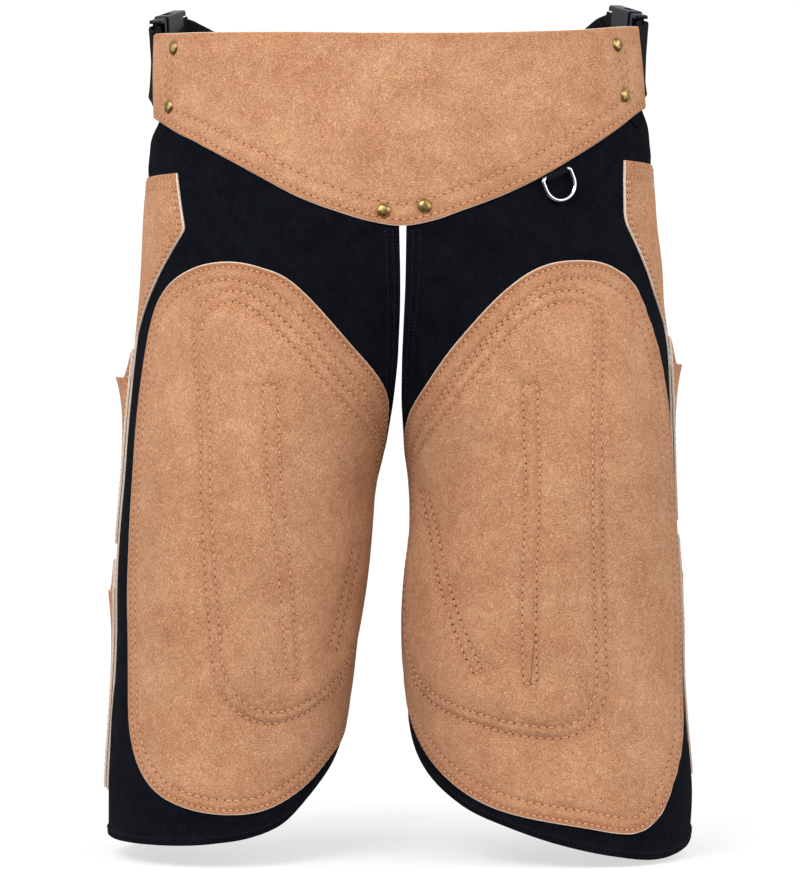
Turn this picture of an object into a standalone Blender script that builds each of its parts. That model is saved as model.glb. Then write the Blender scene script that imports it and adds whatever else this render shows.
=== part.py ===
"""Farrier apron, in the form it keeps when worn.

Frame: the apron faces -Y, +X is on the viewer's right and +Z is up. The origin is the middle of the
waist opening at belt level. Left and right are the viewer's.

Places on the cloth are given by two numbers. On the waist they are the angle round the body from the
centre front and the height. On a leg they are the turn round the thigh from its front line, in degrees,
positive towards the outside, and the height. Tables hold millimetres and degrees.
"""

import bmesh
import bpy
import numpy as np
from mathutils import Matrix, Vector

MM = 0.001
SEAM_GAP = 0.3 * MM
LAID_GAP = 0.95 * MM
PATCH_GAP = 2.0 * MM
POCKET_GAP = 0.5 * MM

CANVAS = 1.5 * MM
SUEDE = 1.8 * MM
WEBBING = 1.8 * MM
LOOP_WEBBING = 1.2 * MM

SIDES = {"left": -1, "right": 1}

# The front line of a thigh stands this far round the waist, and one degree of turn on a leg is this
# many degrees on the waist.
FRONT_LINE_ANGLE = 34.0
WAIST_PER_TURN = 0.6
# About how many millimetres of cloth one degree of turn covers.
TURN_WIDTH = 1.9


def table(columns, rows):
    """Named columns from rows of numbers."""
    return dict(zip(columns.split(), np.array(rows, float).T))


SECTION_COLUMNS = "height inner outer front middle thigh"

# Rows that both legs share: the hips. inner and outer are distances from the centre, front is how far
# the cloth stands in front of the hips' middle, and thigh is the share of a separate thigh's form.
HIP_ROWS = [
    (45, 0, 191, 126, 0, 0),
    (10, 0, 193, 126, 0, 0),
    (-26, 0, 194, 126.5, 0, 0),
    (-66, 0, 196, 127, 0, 0),
    (-106, 0, 198.5, 127, 0, 0),
]

LEG_SECTIONS = {
    "left": table(SECTION_COLUMNS, HIP_ROWS + [
        (-140, 2, 200, 127, -2, 0.08),
        (-170, 3, 202, 126.5, -4, 0.24),
        (-200, 4, 205, 126, -6, 0.45),
        (-235, 8, 208.5, 125.5, -8, 0.66),
        (-270, 18, 211.5, 125, -9, 0.84),
        (-300, 25.2, 213.5, 124.5, -10, 0.94),
        (-320, 26.5, 215.2, 124, -10, 0.975),
        (-340, 27.3, 217, 123.5, -10, 0.993),
        (-390, 32, 219.8, 122, -9, 1),
        (-425, 36.5, 220, 121, -8, 1),
        (-460, 40.5, 221.5, 119.5, -7, 1),
        (-495, 45, 224, 118, -6, 1),
        (-540, 50, 226.9, 116.5, -5, 1),
        (-600, 53, 226.9, 115, -5, 1),
    ]),
    "right": table(SECTION_COLUMNS, HIP_ROWS + [
        (-140, 2, 202.5, 127, -2, 0.08),
        (-170, 3, 204, 126.5, -4, 0.24),
        (-200, 4, 208, 126, -6, 0.45),
        (-235, 6, 209.8, 125.5, -8, 0.66),
        (-270, 10.5, 211, 125, -9, 0.84),
        (-300, 13.5, 212.2, 124.5, -10, 0.94),
        (-320, 12.8, 213, 124, -10, 0.975),
        (-340, 11.5, 214, 123.5, -10, 0.993),
        (-380, 7, 216.5, 122.3, -9, 1),
        (-415, 5, 219, 121, -8, 1),
        (-460, 6.5, 220, 119.5, -7, 1),
        (-495, 9.5, 222.5, 118, -6, 1),
        (-540, 13, 226.5, 116.5, -5, 1),
        (-600, 16, 226.2, 115, -5, 1),
    ]),
}

# The cut of each leg panel: the turn of its two long edges at each height.
LEG_EDGES = {
    "left": table("height inner outer", [
        (22, -56.5, 57),
        (-15, -56.5, 60),
        (-28, -56.5, 66),
        (-47, -56.5, 92),
        (-75, -56.5, 106),
        (-114, -56.5, 117),
        (-168, -59, 127),
        (-205, -62, 131),
        (-243, -67, 134),
        (-270, -76, 135),
        (-300, -93, 136),
        (-340, -109, 137),
        (-400, -117, 137),
        (-470, -119, 137),
        (-590, -118, 137),
    ]),
    "right": table("height inner outer", [
        (22, -54.5, 59),
        (-10, -54.5, 62),
        (-20, -54.5, 69),
        (-38, -54.5, 92),
        (-70, -54.5, 106),
        (-114, -54.5, 117),
        (-168, -57, 127),
        (-205, -61.5, 131),
        (-243, -68.5, 134),
        (-270, -77, 135),
        (-300, -93, 136),
        (-340, -107, 137),
        (-400, -115, 137),
        (-470, -118, 137),
        (-600, -118, 137),
    ]),
}

# The hem of each leg: its height at each turn.
LEG_HEM = {
    "left": table("turn height", [
        (-118, -470), (-90, -496), (-64, -530), (-49, -548), (-34, -566),
        (-17, -575), (0, -579), (37, -582), (90, -582), (137, -580),
    ]),
    "right": table("turn height", [
        (-118, -472), (-90, -498), (-73, -521), (-54, -542), (-40, -555), (-22, -567),
        (-2, -579), (22, -589.5), (42, -594.5), (67, -590.5), (90, -583), (137, -578),
    ]),
}
HEM_BAND = 6.5 * MM
HEM_STEP = 0.8 * MM

# How far down a leg its rows of points lie: they are closest where the hips pass into the thighs.
LEG_ROWS = table("row down", [(0, 0), (0.2, 0.25), (0.75, 0.6), (1, 1)])

# The top of a leg runs under the waist panel and drops below the belt's end.
LEG_TOP = {
    "left": table("turn height", [(-60, 22), (30, 22), (38, 4), (45, -33.5), (57, -27.5), (67, -21.5)]),
    "right": table("turn height", [(-60, 22), (28, 22), (35, 6), (42, -29), (53, -22), (64, -15.5)]),
}

# The waist panel: its top and bottom at each angle round the body.
PANEL = table("angle top bottom", [
    (-80, 42, -24.3),
    (-71.3, 40.4, -30.3),
    (-61.5, 38.4, -39),
    (-52, 37, -47.5),
    (-41, 35.4, -62),
    (-32, 34.2, -76),
    (-23, 33.2, -91),
    (-14, 32.3, -102.5),
    (-6, 31.6, -110.5),
    (0, 31.5, -113.5),
    (7, 31.6, -109.8),
    (14, 32, -101.5),
    (23, 33.1, -90),
    (32, 34.7, -76.5),
    (41, 36.8, -61.5),
    (52, 40, -44.5),
    (60.5, 42.5, -33),
    (70, 44.7, -21.8),
    (77, 46, -16.6),
])
# How far its two ends lean out at their top and at their bottom, in degrees round the body.
PANEL_LEAN = {"left": (-0.5, -4.5), "right": (-5.5, -2.0)}
LEAN_START = 50.0
# How far the panel's inside stands off the body: over the canvas, and over the belt's ends.
PANEL_LIFT = table("angle lift", [(0, 2.1), (45, 2.1), (60, 2.75), (90, 2.75)])

# The border of each knee patch, round from its top: turn and height.
PATCH_BORDER = {
    "left": [
        (12, -139.5), (-4, -144.5), (-18, -158), (-40, -202), (-60, -237), (-73, -270), (-89, -303),
        (-103, -350), (-109, -405), (-106, -450), (-90, -496), (-65, -518), (-43, -541), (-22, -555),
        (0, -556.5), (20, -549.5), (35, -536), (47, -512), (54, -480), (58.5, -420), (60, -360),
        (62.5, -300), (63.5, -240), (59, -185), (48, -159), (30, -144),
    ],
    "right": [
        (12, -138.5), (-4, -144), (-18, -162), (-36, -198), (-52, -232), (-67, -257), (-84, -291),
        (-99, -345), (-106, -405), (-100, -455), (-80, -491), (-54, -528), (-27, -553), (8, -566.5),
        (31, -573), (45, -562), (55, -539), (70, -499), (75.5, -445), (79, -370), (78, -305),
        (72.5, -252), (62, -204), (49, -161), (30, -142),
    ],
}
# The line that a patch's rings close on: turn, and the heights of its two ends.
PATCH_SPINE = {"left": (-22, -240, -465), "right": (-6, -240, -475)}
PATCH_RINGS = (1.0, 0.88, 0.76, 0.72, 0.6, 0.47, 0.33, 0.19, 0.05)
PATCH_BORDER_STEPS = 56
PAD_RISE = 1.5 * MM
PAD_SHARE = 0.73

# The hip patches, which also back the pockets: the turn of the front and back edges at each height.
HIP_PATCH = {
    "left": table("height front back", [
        (-69.5, 43, 116), (-84, 40.5, 120), (-112, 35.5, 122), (-116, 36.5, 122.5), (-136, 48, 125),
        (-165, 65, 127), (-195, 82, 129), (-230, 87, 129), (-300, 87, 129), (-420, 87, 129), (-549, 87, 129),
    ]),
    "right": table("height front back", [
        (-59.5, 44.5, 115), (-74, 43.5, 119), (-102, 42.5, 121), (-109, 43.5, 122), (-136, 54.5, 125),
        (-160, 65.5, 127), (-186, 81, 128), (-215, 86, 129), (-300, 92, 130), (-420, 94, 131), (-540, 95, 131),
    ]),
}

# The pockets: the heights of the mouth's corners, of the mouth's lowest place and of the bottom seam,
# and how far the mouth stands open.
POCKETS = {
    ("upper", "left"): dict(corner=-204, mouth=-226, bottom=-356, open=16, closes=0.30),
    ("upper", "right"): dict(corner=-194, mouth=-215, bottom=-338, open=12, closes=0.38),
    ("lower", "left"): dict(corner=-368, mouth=-393, bottom=-547, open=8.5, closes=0.45),
    ("lower", "right"): dict(corner=-349, mouth=-379, bottom=-538, open=7.5, closes=0.45),
}

# The mouth's edge drops near its corners: this much of the way to the pocket's full belly.
MOUTH_CORNER = 0.35
# A pocket's back edge stands this many degrees of turn inside the hip patch's.
POCKET_INSET = 1.5

# Rivets: angle and height on the waist panel.
RIVETS = {
    "rivet_left_upper": (-62.8, 27.3),
    "rivet_left_lower": (-64.3, -17.8),
    "rivet_right_upper": (58.5, 28.9),
    "rivet_right_lower": (61.2, -9.5),
    "rivet_front_left": (-3.5, -102.4),
    "rivet_front_right": (5.3, -99.0),
}
RIVET_RADIUS = 5.15 * MM
RIVET_HEIGHT = 2.3 * MM
RIVET_RIM = 0.6 * MM

# The belt: webbing, and the middle of its width at each angle round the body.
BELT_WIDTH = 50.8 * MM
BELT_LINE = {
    "left": table("angle height", [(60, -4), (68, 3.5), (80, 16)]),
    "right": table("angle height", [(60, 5), (68, 12), (77, 20)]),
}
BELT_START = {"left": 66.5, "right": 63.5}
BELT_END = {"left": 80.0, "right": 77.0}
# The belt behind the waist: its oval, where it runs, and the height of its middle there and at its ends.
BACK_WIDTH = 192.5 * MM
BACK_DEPTH = 127 * MM
BACK_ANGLES = (128.0, 232.0)
BACK_HEIGHT = 24 * MM
BACK_END_HEIGHT = 29 * MM

# Side-release buckles: the middle, the turn from the Y axis, and the rise towards the back.
BUCKLE = {
    "left": dict(x=183.5, y=27, z=32.5, turn=12, rise=12),
    "right": dict(x=180, y=27, z=36.5, turn=14, rise=12),
}
BUCKLE_HEIGHT = 63 * MM
BUCKLE_DEPTH = 12 * MM
BUCKLE_LENGTH = 72 * MM
PLUG_BASE = 17 * MM
BAR = 3.6 * MM
SLOT = 7 * MM
SLOT_WIDTH = 54 * MM
PLUG_MARGIN = 1.5 * MM
PLUG_THINNER = 2 * MM
PLUG_BEVEL = 1.6 * MM
SOCKET_BEVEL = 2.2 * MM
PRONG_LENGTH = 26 * MM
PRONG_WIDTH = 8 * MM
PRONG_DEPTH = 5 * MM
PRONG_PLACE = 21 * MM
TONGUE_WIDTH = 10 * MM
TONGUE_DEPTH = 4 * MM
HOLLOW = (36 * MM, 51 * MM, 7 * MM)
HOLLOW_PLACE = 16 * MM
WINDOW = (17 * MM, 14 * MM, 6 * MM)
WINDOW_PLACE = (19 * MM, 30 * MM)
FOLD_LEAD = 6 * MM
FOLD_TAIL = 12 * MM

# The D-ring and its loop: the bar's place on the waist, its tilt, and the ring's own sizes.
RING_ANGLE = 36.2
RING_HEIGHT = -73.2 * MM
RING_TILT = 24.0
RING_WIRE = 1.5 * MM
RING_RADIUS = 12.7 * MM
RING_SIDE = 8 * MM
RING_CORNER = 2.5 * MM
LOOP_WIDTH = 19 * MM
LOOP_CLEARANCE = 0.45 * MM
LOOP_REACH = 2 * MM

# Straps behind the thighs: height, width and the turns where they are sewn inside the canvas.
STRAP_HEIGHT = -375 * MM
STRAP_WIDTH = 38 * MM
STRAP_TURNS = (127.0, 250.0)
STRAP_GAP = 1.3 * MM

MATERIALS = {
    "canvas": ((0.012, 0.014, 0.022), 0.9, 0.0),
    "suede": ((0.62, 0.36, 0.20), 0.95, 0.0),
    "webbing": ((0.01, 0.01, 0.012), 0.8, 0.0),
    "plastic": ((0.01, 0.011, 0.014), 0.3, 0.0),
    "brass": ((0.45, 0.31, 0.12), 0.35, 1.0),
    "chrome": ((0.75, 0.75, 0.76), 0.12, 1.0),
}


def clear_scene():
    for obj in list(bpy.data.objects):
        bpy.data.objects.remove(obj, do_unlink=True)


def new_collection(name):
    group = bpy.data.collections.new(name)
    bpy.context.scene.collection.children.link(group)
    return group


def material(kind):
    found = bpy.data.materials.get(kind)
    if found:
        return found
    color, roughness, metallic = MATERIALS[kind]
    made = bpy.data.materials.new(kind)
    made.use_nodes = True
    shader = made.node_tree.nodes["Principled BSDF"]
    shader.inputs["Base Color"].default_value = (*color, 1)
    shader.inputs["Roughness"].default_value = roughness
    shader.inputs["Metallic"].default_value = metallic
    return made


def smooth(x, xs, ys):
    """A smooth curve through a table's rows, held level past its ends."""
    if xs[0] > xs[-1]:
        xs, ys = xs[::-1], ys[::-1]
    slope = np.gradient(ys, xs)
    x = np.clip(x, xs[0], xs[-1])
    i = np.clip(np.searchsorted(xs, x) - 1, 0, len(xs) - 2)
    step = xs[i + 1] - xs[i]
    t = (x - xs[i]) / step
    rise = ys[i + 1] - ys[i]
    start, end = slope[i] * step, slope[i + 1] * step
    return ys[i] + t * (start + t * (3 * rise - 2 * start - end + t * (start + end - 2 * rise)))


def unit(v):
    return v / np.linalg.norm(v, axis=-1, keepdims=True)


def leg_base(side, turn, height):
    """The inside of a leg panel: the hips' oval, passing into the thigh's oval lower down."""
    rows = LEG_SECTIONS[side]
    z = height / MM
    inner, outer, front, middle, thigh = (
        smooth(z, rows["height"], rows[name]) for name in ("inner", "outer", "front", "middle", "thigh")
    )
    thigh = np.clip(thigh, 0, 1)
    round_thigh = np.radians(turn)
    round_waist = np.radians(FRONT_LINE_ANGLE + WAIST_PER_TURN * turn)
    hip_x, hip_y = outer * np.sin(round_waist), -front * np.cos(round_waist)
    thigh_x = (inner + outer) / 2 + (outer - inner) / 2 * np.sin(round_thigh)
    thigh_y = middle - (front + middle) * np.cos(round_thigh)
    x = hip_x + thigh * (thigh_x - hip_x)
    y = hip_y + thigh * (thigh_y - hip_y)
    return np.stack([SIDES[side] * x * MM, y * MM, height], axis=-1)


def leg_point(side, turn, height, out=0.0):
    """A point on a leg, moved out of the cloth by a distance."""
    turn, height, out = np.broadcast_arrays(*(np.asarray(v, float) for v in (turn, height, out)))
    across = leg_base(side, turn + 0.5, height) - leg_base(side, turn - 0.5, height)
    up = leg_base(side, turn, height + MM) - leg_base(side, turn, height - MM)
    away = unit(np.cross(across, up)) * SIDES[side]
    return leg_base(side, turn, height) + away * out[..., None]


def waist_point(angle, height, out=0.0):
    """A point on the waist and hips, moved out; a negative angle is on the left."""
    angle, height, out = np.broadcast_arrays(*(np.asarray(v, float) for v in (angle, height, out)))
    turn = (np.abs(angle) - FRONT_LINE_ANGLE) / WAIST_PER_TURN
    point = leg_point("right", turn, height, out)
    point[..., 0] *= np.where(angle < 0, -1, 1)
    return point


def grid_faces(across, down):
    """Quads of a grid whose points run across, row after row."""
    return [
        (r * across + c, r * across + c + 1, (r + 1) * across + c + 1, (r + 1) * across + c)
        for r in range(down - 1)
        for c in range(across - 1)
    ]


def ring_faces(around, rings):
    """Quads between closed rings, and a ladder of quads across the last one."""
    faces = [
        (r * around + c, r * around + (c + 1) % around, (r + 1) * around + (c + 1) % around, (r + 1) * around + c)
        for r in range(rings - 1)
        for c in range(around)
    ]
    last = (rings - 1) * around
    half = around // 2
    faces.append((last, last + 1, last + around - 1))
    faces += [
        (last + c, last + c + 1, last + around - c - 1, last + around - c)
        for c in range(1, half - 1)
    ]
    faces.append((last + half - 1, last + half, last + half + 1))
    return faces


def add_object(name, mesh_data, kind):
    obj = bpy.data.objects.new(name, mesh_data)
    obj.data.materials.append(material(kind))
    apron.objects.link(obj)
    return obj


def add_mesh(name, points, faces, kind, smooth_shaded=True):
    """An object from points and faces, with every face turned outwards."""
    mesh = bpy.data.meshes.new(name)
    mesh.from_pydata([tuple(map(float, p)) for p in points], [], faces)
    shape = bmesh.new()
    shape.from_mesh(mesh)
    bmesh.ops.recalc_face_normals(shape, faces=shape.faces)
    shape.to_mesh(mesh)
    shape.free()
    if smooth_shaded:
        mesh.shade_smooth()
        mesh.set_sharp_from_angle(angle=np.radians(40))
    return add_object(name, mesh, kind)


def wall(name, inside, outside, faces, kind):
    """A closed wall of cloth between an inside and an outside with the same faces."""
    count = len(inside)
    edges = {}
    for face in faces:
        for a, b in zip(face, face[1:] + face[:1]):
            edges[a, b] = True
    rim = [(a, b, b + count, a + count) for a, b in edges if (b, a) not in edges]
    closed = [tuple(reversed(face)) for face in faces]
    closed += [tuple(i + count for i in face) for face in faces]
    return add_mesh(name, np.concatenate([inside, outside]), closed + rim, kind)


def leg_top(side, turn):
    return np.interp(turn, LEG_TOP[side]["turn"], LEG_TOP[side]["height"]) * MM


def leg_panel(side, columns=29, rows=20):
    """A canvas leg: columns from its inner to its outer edge, rows from its top to its hem band."""
    edges, hem = LEG_EDGES[side], LEG_HEM[side]
    share = np.linspace(0, 1, columns)
    bottom = smooth(smooth_turn(edges, share, hem["height"].mean()), hem["turn"], hem["height"]) * MM
    band_top = bottom + HEM_BAND
    top_turn = smooth_turn(edges, share, edges["height"][0])
    top = leg_top(side, top_turn)
    down = np.interp(np.linspace(0, 1, rows), LEG_ROWS["row"], LEG_ROWS["down"])[:, None]
    heights = top + (band_top + MM - top) * down
    for _ in range(2):
        top = leg_top(side, smooth_turn(edges, share, heights[0] / MM))
        heights = top + (band_top + MM - top) * down
    heights = np.concatenate([heights, [band_top], [bottom]])
    turns = smooth_turn(edges, share, heights / MM)
    thick = np.full(heights.shape, CANVAS)
    thick[-2:] += HEM_STEP
    inside = leg_point(side, turns, heights).reshape(-1, 3)
    outside = leg_point(side, turns, heights, thick).reshape(-1, 3)
    wall(f"leg_{side}", inside, outside, grid_faces(columns, rows + 2), "canvas")


def smooth_turn(edges, share, height):
    """The turn at a share of the way from a panel's inner edge to its outer edge."""
    inner = smooth(height, edges["height"], edges["inner"])
    outer = smooth(height, edges["height"], edges["outer"])
    return inner + (outer - inner) * share


def closed_curve(points, steps):
    """A smooth closed curve through points, as evenly spaced points from its highest to its lowest."""
    points = np.array(points, float)
    count = len(points)
    t = np.linspace(0, 1, 12, endpoint=False)[:, None]
    fine = []
    for i in range(count):
        a, b, c, d = (points[(i + k) % count] for k in (-1, 0, 1, 2))
        fine.append(b + 0.5 * t * (c - a + t * (2 * a - 5 * b + 4 * c - d + t * (3 * (b - c) + d - a))))
    fine = np.concatenate(fine)
    fine = np.roll(fine, -int(fine[:, 1].argmax()), axis=0)
    low = int(fine[:, 1].argmin())
    halves = []
    for part in (fine[: low + 1], np.concatenate([fine[low:], fine[:1]])):
        step = np.linalg.norm(np.diff(part, axis=0) * (TURN_WIDTH, 1), axis=1)
        along = np.concatenate([[0], np.cumsum(step)])
        at = np.linspace(0, along[-1], steps // 2 + 1)[:-1]
        halves.append(np.stack([np.interp(at, along, part[:, k]) for k in (0, 1)], axis=1))
    return np.concatenate(halves)


def knee_patch(side):
    """A suede patch: rings from its border to a line down its middle, raised where it is padded."""
    border = closed_curve(PATCH_BORDER[side], PATCH_BORDER_STEPS)
    turn, top, low = PATCH_SPINE[side]
    spine = np.stack([np.full(len(border), float(turn)), np.clip(border[:, 1], low, top)], axis=1)
    rings = [spine + (border - spine) * share for share in PATCH_RINGS]
    places = np.concatenate(rings)
    rise = np.repeat([PAD_RISE if share < PAD_SHARE else 0 for share in PATCH_RINGS], len(border))
    base = CANVAS + PATCH_GAP
    inside = leg_point(side, places[:, 0], places[:, 1] * MM, base)
    outside = leg_point(side, places[:, 0], places[:, 1] * MM, base + SUEDE + rise)
    wall(f"patch_{side}", inside, outside, ring_faces(len(border), len(PATCH_RINGS)), "suede")


def hip_patch(side, across=8, down=19):
    rows = HIP_PATCH[side]
    top, bottom = rows["height"][0], rows["height"][-1]
    heights = np.unique(np.concatenate([np.linspace(bottom, top, down), rows["height"][1:5]]))[::-1]
    front = np.interp(-heights, -rows["height"], rows["front"])
    back = np.interp(-heights, -rows["height"], rows["back"])
    share = np.linspace(0, 1, across)
    turns = (front[:, None] + (back - front)[:, None] * share).ravel()
    z = np.repeat(heights * MM, across)
    base = CANVAS + LAID_GAP
    inside = leg_point(side, turns, z, base)
    outside = leg_point(side, turns, z, base + SUEDE)
    wall(f"hip_patch_{side}", inside, outside, grid_faces(across, len(heights)), "suede")


def mouth_drop(belly):
    share = np.clip(belly / MOUTH_CORNER, 0, 1)
    return share * share * (3 - 2 * share)


def pocket(place, side, across=9, down=9):
    """A pocket on the hip patch: sewn down both sides and along its bottom, standing open at its mouth."""
    rows, sizes = HIP_PATCH[side], POCKETS[place, side]
    share = np.linspace(0, 1, across)
    belly = np.sin(np.pi * share)
    depth = np.linspace(0, 1, down) ** 1.3
    turns, heights, outs = [], [], []
    for d in depth:
        top = sizes["corner"] + (sizes["mouth"] - sizes["corner"]) * mouth_drop(belly)
        z = top + (sizes["bottom"] - top) * d
        front = np.interp(-z, -rows["height"], rows["front"])
        back = np.interp(-z, -rows["height"], rows["back"])
        turns.append(front + (back - POCKET_INSET - front) * share)
        heights.append(z * MM)
        slack = sizes["open"] * np.exp(-d / sizes["closes"]) * (1 - d) ** 0.5
        outs.append(belly ** 1.2 * slack * MM)
    turns, heights, outs = (np.concatenate(v) for v in (turns, heights, outs))
    outs += CANVAS + LAID_GAP + SUEDE + POCKET_GAP
    inside = leg_point(side, turns, heights, outs)
    outside = leg_point(side, turns, heights, outs + SUEDE)
    wall(f"pocket_{place}_{side}", inside, outside, grid_faces(across, down), "suede")


def panel_lift(angle):
    return np.interp(np.abs(angle), PANEL_LIFT["angle"], PANEL_LIFT["lift"]) * MM


def lean(angle, share):
    """The angle round the body of a place on the waist panel; share runs from its top to its bottom."""
    left = angle < 0
    top, low = (np.where(left, PANEL_LEAN["left"][k], PANEL_LEAN["right"][k]) for k in (0, 1))
    end = np.where(left, -PANEL["angle"][0], PANEL["angle"][-1])
    weight = np.clip((np.abs(angle) - LEAN_START) / (end - LEAN_START), 0, 1)
    return angle + np.sign(angle) * weight * (top + (low - top) * share)


def waist_panel(columns=37, rows=5):
    angles = np.linspace(PANEL["angle"][0], PANEL["angle"][-1], columns)
    top = smooth(angles, PANEL["angle"], PANEL["top"]) * MM
    bottom = smooth(angles, PANEL["angle"], PANEL["bottom"]) * MM
    share = np.linspace(0, 1, rows)[:, None]
    heights = (top + (bottom - top) * share).ravel()
    around = lean(np.tile(angles, rows), np.repeat(share, columns))
    lift = panel_lift(around)
    inside = waist_point(around, heights, lift)
    outside = waist_point(around, heights, lift + SUEDE)
    wall("waist_panel", inside, outside, grid_faces(columns, rows), "suede")


def facing(point, ahead, above):
    """A placing matrix whose Z axis points ahead and whose Y axis is as near as can be to above."""
    z = Vector(ahead).normalized()
    x = Vector(above).cross(z).normalized()
    y = z.cross(x)
    turn = Matrix((x, y, z)).transposed().to_4x4()
    return Matrix.Translation(Vector(point)) @ turn


def rivet(name, angle, height):
    """A domed cap on the waist panel: a turned profile from the rim to the crown."""
    out = panel_lift(angle) + SUEDE + SEAM_GAP
    point = waist_point(angle, height * MM, out)
    ahead = waist_point(angle, height * MM, out + MM) - point
    arc = np.radians((90, 62, 34, 0))
    profile = [(RIVET_RADIUS, 0.0)]
    dome = RIVET_HEIGHT - RIVET_RIM
    profile += [(RIVET_RADIUS * np.sin(a), RIVET_RIM + dome * np.cos(a)) for a in arc]
    around = 12
    points, faces = [], []
    for radius, rise in profile[:-1]:
        for k in range(around):
            a = 2 * np.pi * k / around
            points.append((radius * np.cos(a), radius * np.sin(a), rise))
    points.append((0, 0, RIVET_HEIGHT))
    crown = len(points) - 1
    faces.append(tuple(range(around)))
    for ring in range(len(profile) - 2):
        for k in range(around):
            n = (k + 1) % around
            faces.append((ring * around + k, ring * around + n, (ring + 1) * around + n, (ring + 1) * around + k))
    last = (len(profile) - 2) * around
    faces += [(last + k, last + (k + 1) % around, crown) for k in range(around)]
    obj = add_mesh(name, points, faces, "brass")
    obj.matrix_world = facing(point, ahead, (0, 0, 1))


def band(name, centres, across, width, thickness, kind):
    """Webbing swept along a path; across is the direction of its width at each point, and width may
    be one number or one for each point."""
    centres, across = np.array(centres), unit(np.array(across))
    along = unit(np.gradient(centres, axis=0))
    away = unit(np.cross(along, across))
    half = across * np.broadcast_to(width, len(centres))[:, None] / 2
    points = []
    for c, w, n in zip(centres, half, away * thickness / 2):
        points += [c - w - n, c + w - n, c + w + n, c - w + n]
    count = len(centres)
    faces = [(0, 1, 2, 3), tuple(range(4 * count - 4, 4 * count))]
    for i in range(count - 1):
        for k in range(4):
            n = (k + 1) % 4
            faces.append((4 * i + k, 4 * i + n, 4 * i + 4 + n, 4 * i + 4 + k))
    return add_mesh(name, points, faces, kind, smooth_shaded=False)


def fold(bar, ahead, away, radius, lead, tail, steps=7):
    """A path that comes to a bar on its away side, turns round it and goes back on the other side."""
    first = bar + away * radius - ahead * lead
    turn = np.linspace(0, np.pi, steps)[:, None]
    round_bar = bar + radius * (np.sin(turn) * ahead + np.cos(turn) * away)
    return np.concatenate([[first], round_bar, [round_bar[-1] - ahead * tail]])


def buckle_frame(side):
    """The buckle's middle and its directions: towards the back, up, and out."""
    place = BUCKLE[side]
    turn, rise = np.radians(place["turn"]), np.radians(place["rise"])
    back = np.array([-np.sin(turn) * np.cos(rise), np.cos(turn) * np.cos(rise), np.sin(rise)])
    out = np.array([np.cos(turn), np.sin(turn), 0.0])
    back, out = (v * (SIDES[side], 1, 1) for v in (back, out))
    up = np.cross(back, out) * -SIDES[side]
    middle = np.array([SIDES[side] * place["x"], place["y"], place["z"]]) * MM
    return middle, back, up, out


def block(name, size, place, group, kind="plastic", bevel=0.0):
    """A box with its edges rounded, as an object at the origin of the buckle's own frame."""
    mesh = bpy.data.meshes.new(name)
    shape = bmesh.new()
    bmesh.ops.create_cube(shape, size=1.0)
    bmesh.ops.scale(shape, vec=size, verts=shape.verts)
    bmesh.ops.translate(shape, vec=place, verts=shape.verts)
    if bevel:
        bmesh.ops.bevel(shape, geom=shape.edges[:], offset=bevel, segments=2, affect="EDGES", profile=0.6)
    shape.to_mesh(mesh)
    shape.free()
    mesh.materials.append(material(kind))
    obj = bpy.data.objects.new(name, mesh)
    group.objects.link(obj)
    return obj


def join(target, tool, operation):
    modifier = target.modifiers.new(f"{operation} {tool.name}", "BOOLEAN")
    modifier.operation = operation
    modifier.solver = "EXACT"
    modifier.object = tool
    tool.hide_render = True
    tool.display_type = "WIRE"


def fit_bar(body, name, end):
    """Cut a notch for the webbing in one end of a buckle's body and set a round bar across it."""
    half = BUCKLE_LENGTH / 2
    notch = block(f"cut_notch_{name}", (2 * (BAR + SLOT), SLOT_WIDTH, 2 * BUCKLE_DEPTH), (end * half, 0, 0), cutters)
    join(body, notch, "DIFFERENCE")
    mesh = bpy.data.meshes.new(f"add_bar_{name}")
    shape = bmesh.new()
    bmesh.ops.create_cone(shape, cap_ends=True, segments=10, radius1=BAR / 2, radius2=BAR / 2, depth=SLOT_WIDTH + 2 * MM)
    bmesh.ops.rotate(shape, matrix=Matrix.Rotation(np.pi / 2, 3, "X"), verts=shape.verts)
    bmesh.ops.translate(shape, vec=(end * (half - BAR / 2), 0, 0), verts=shape.verts)
    shape.to_mesh(mesh)
    shape.free()
    mesh.materials.append(material("plastic"))
    bar = bpy.data.objects.new(mesh.name, mesh)
    cutters.objects.link(bar)
    join(body, bar, "UNION")


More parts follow.
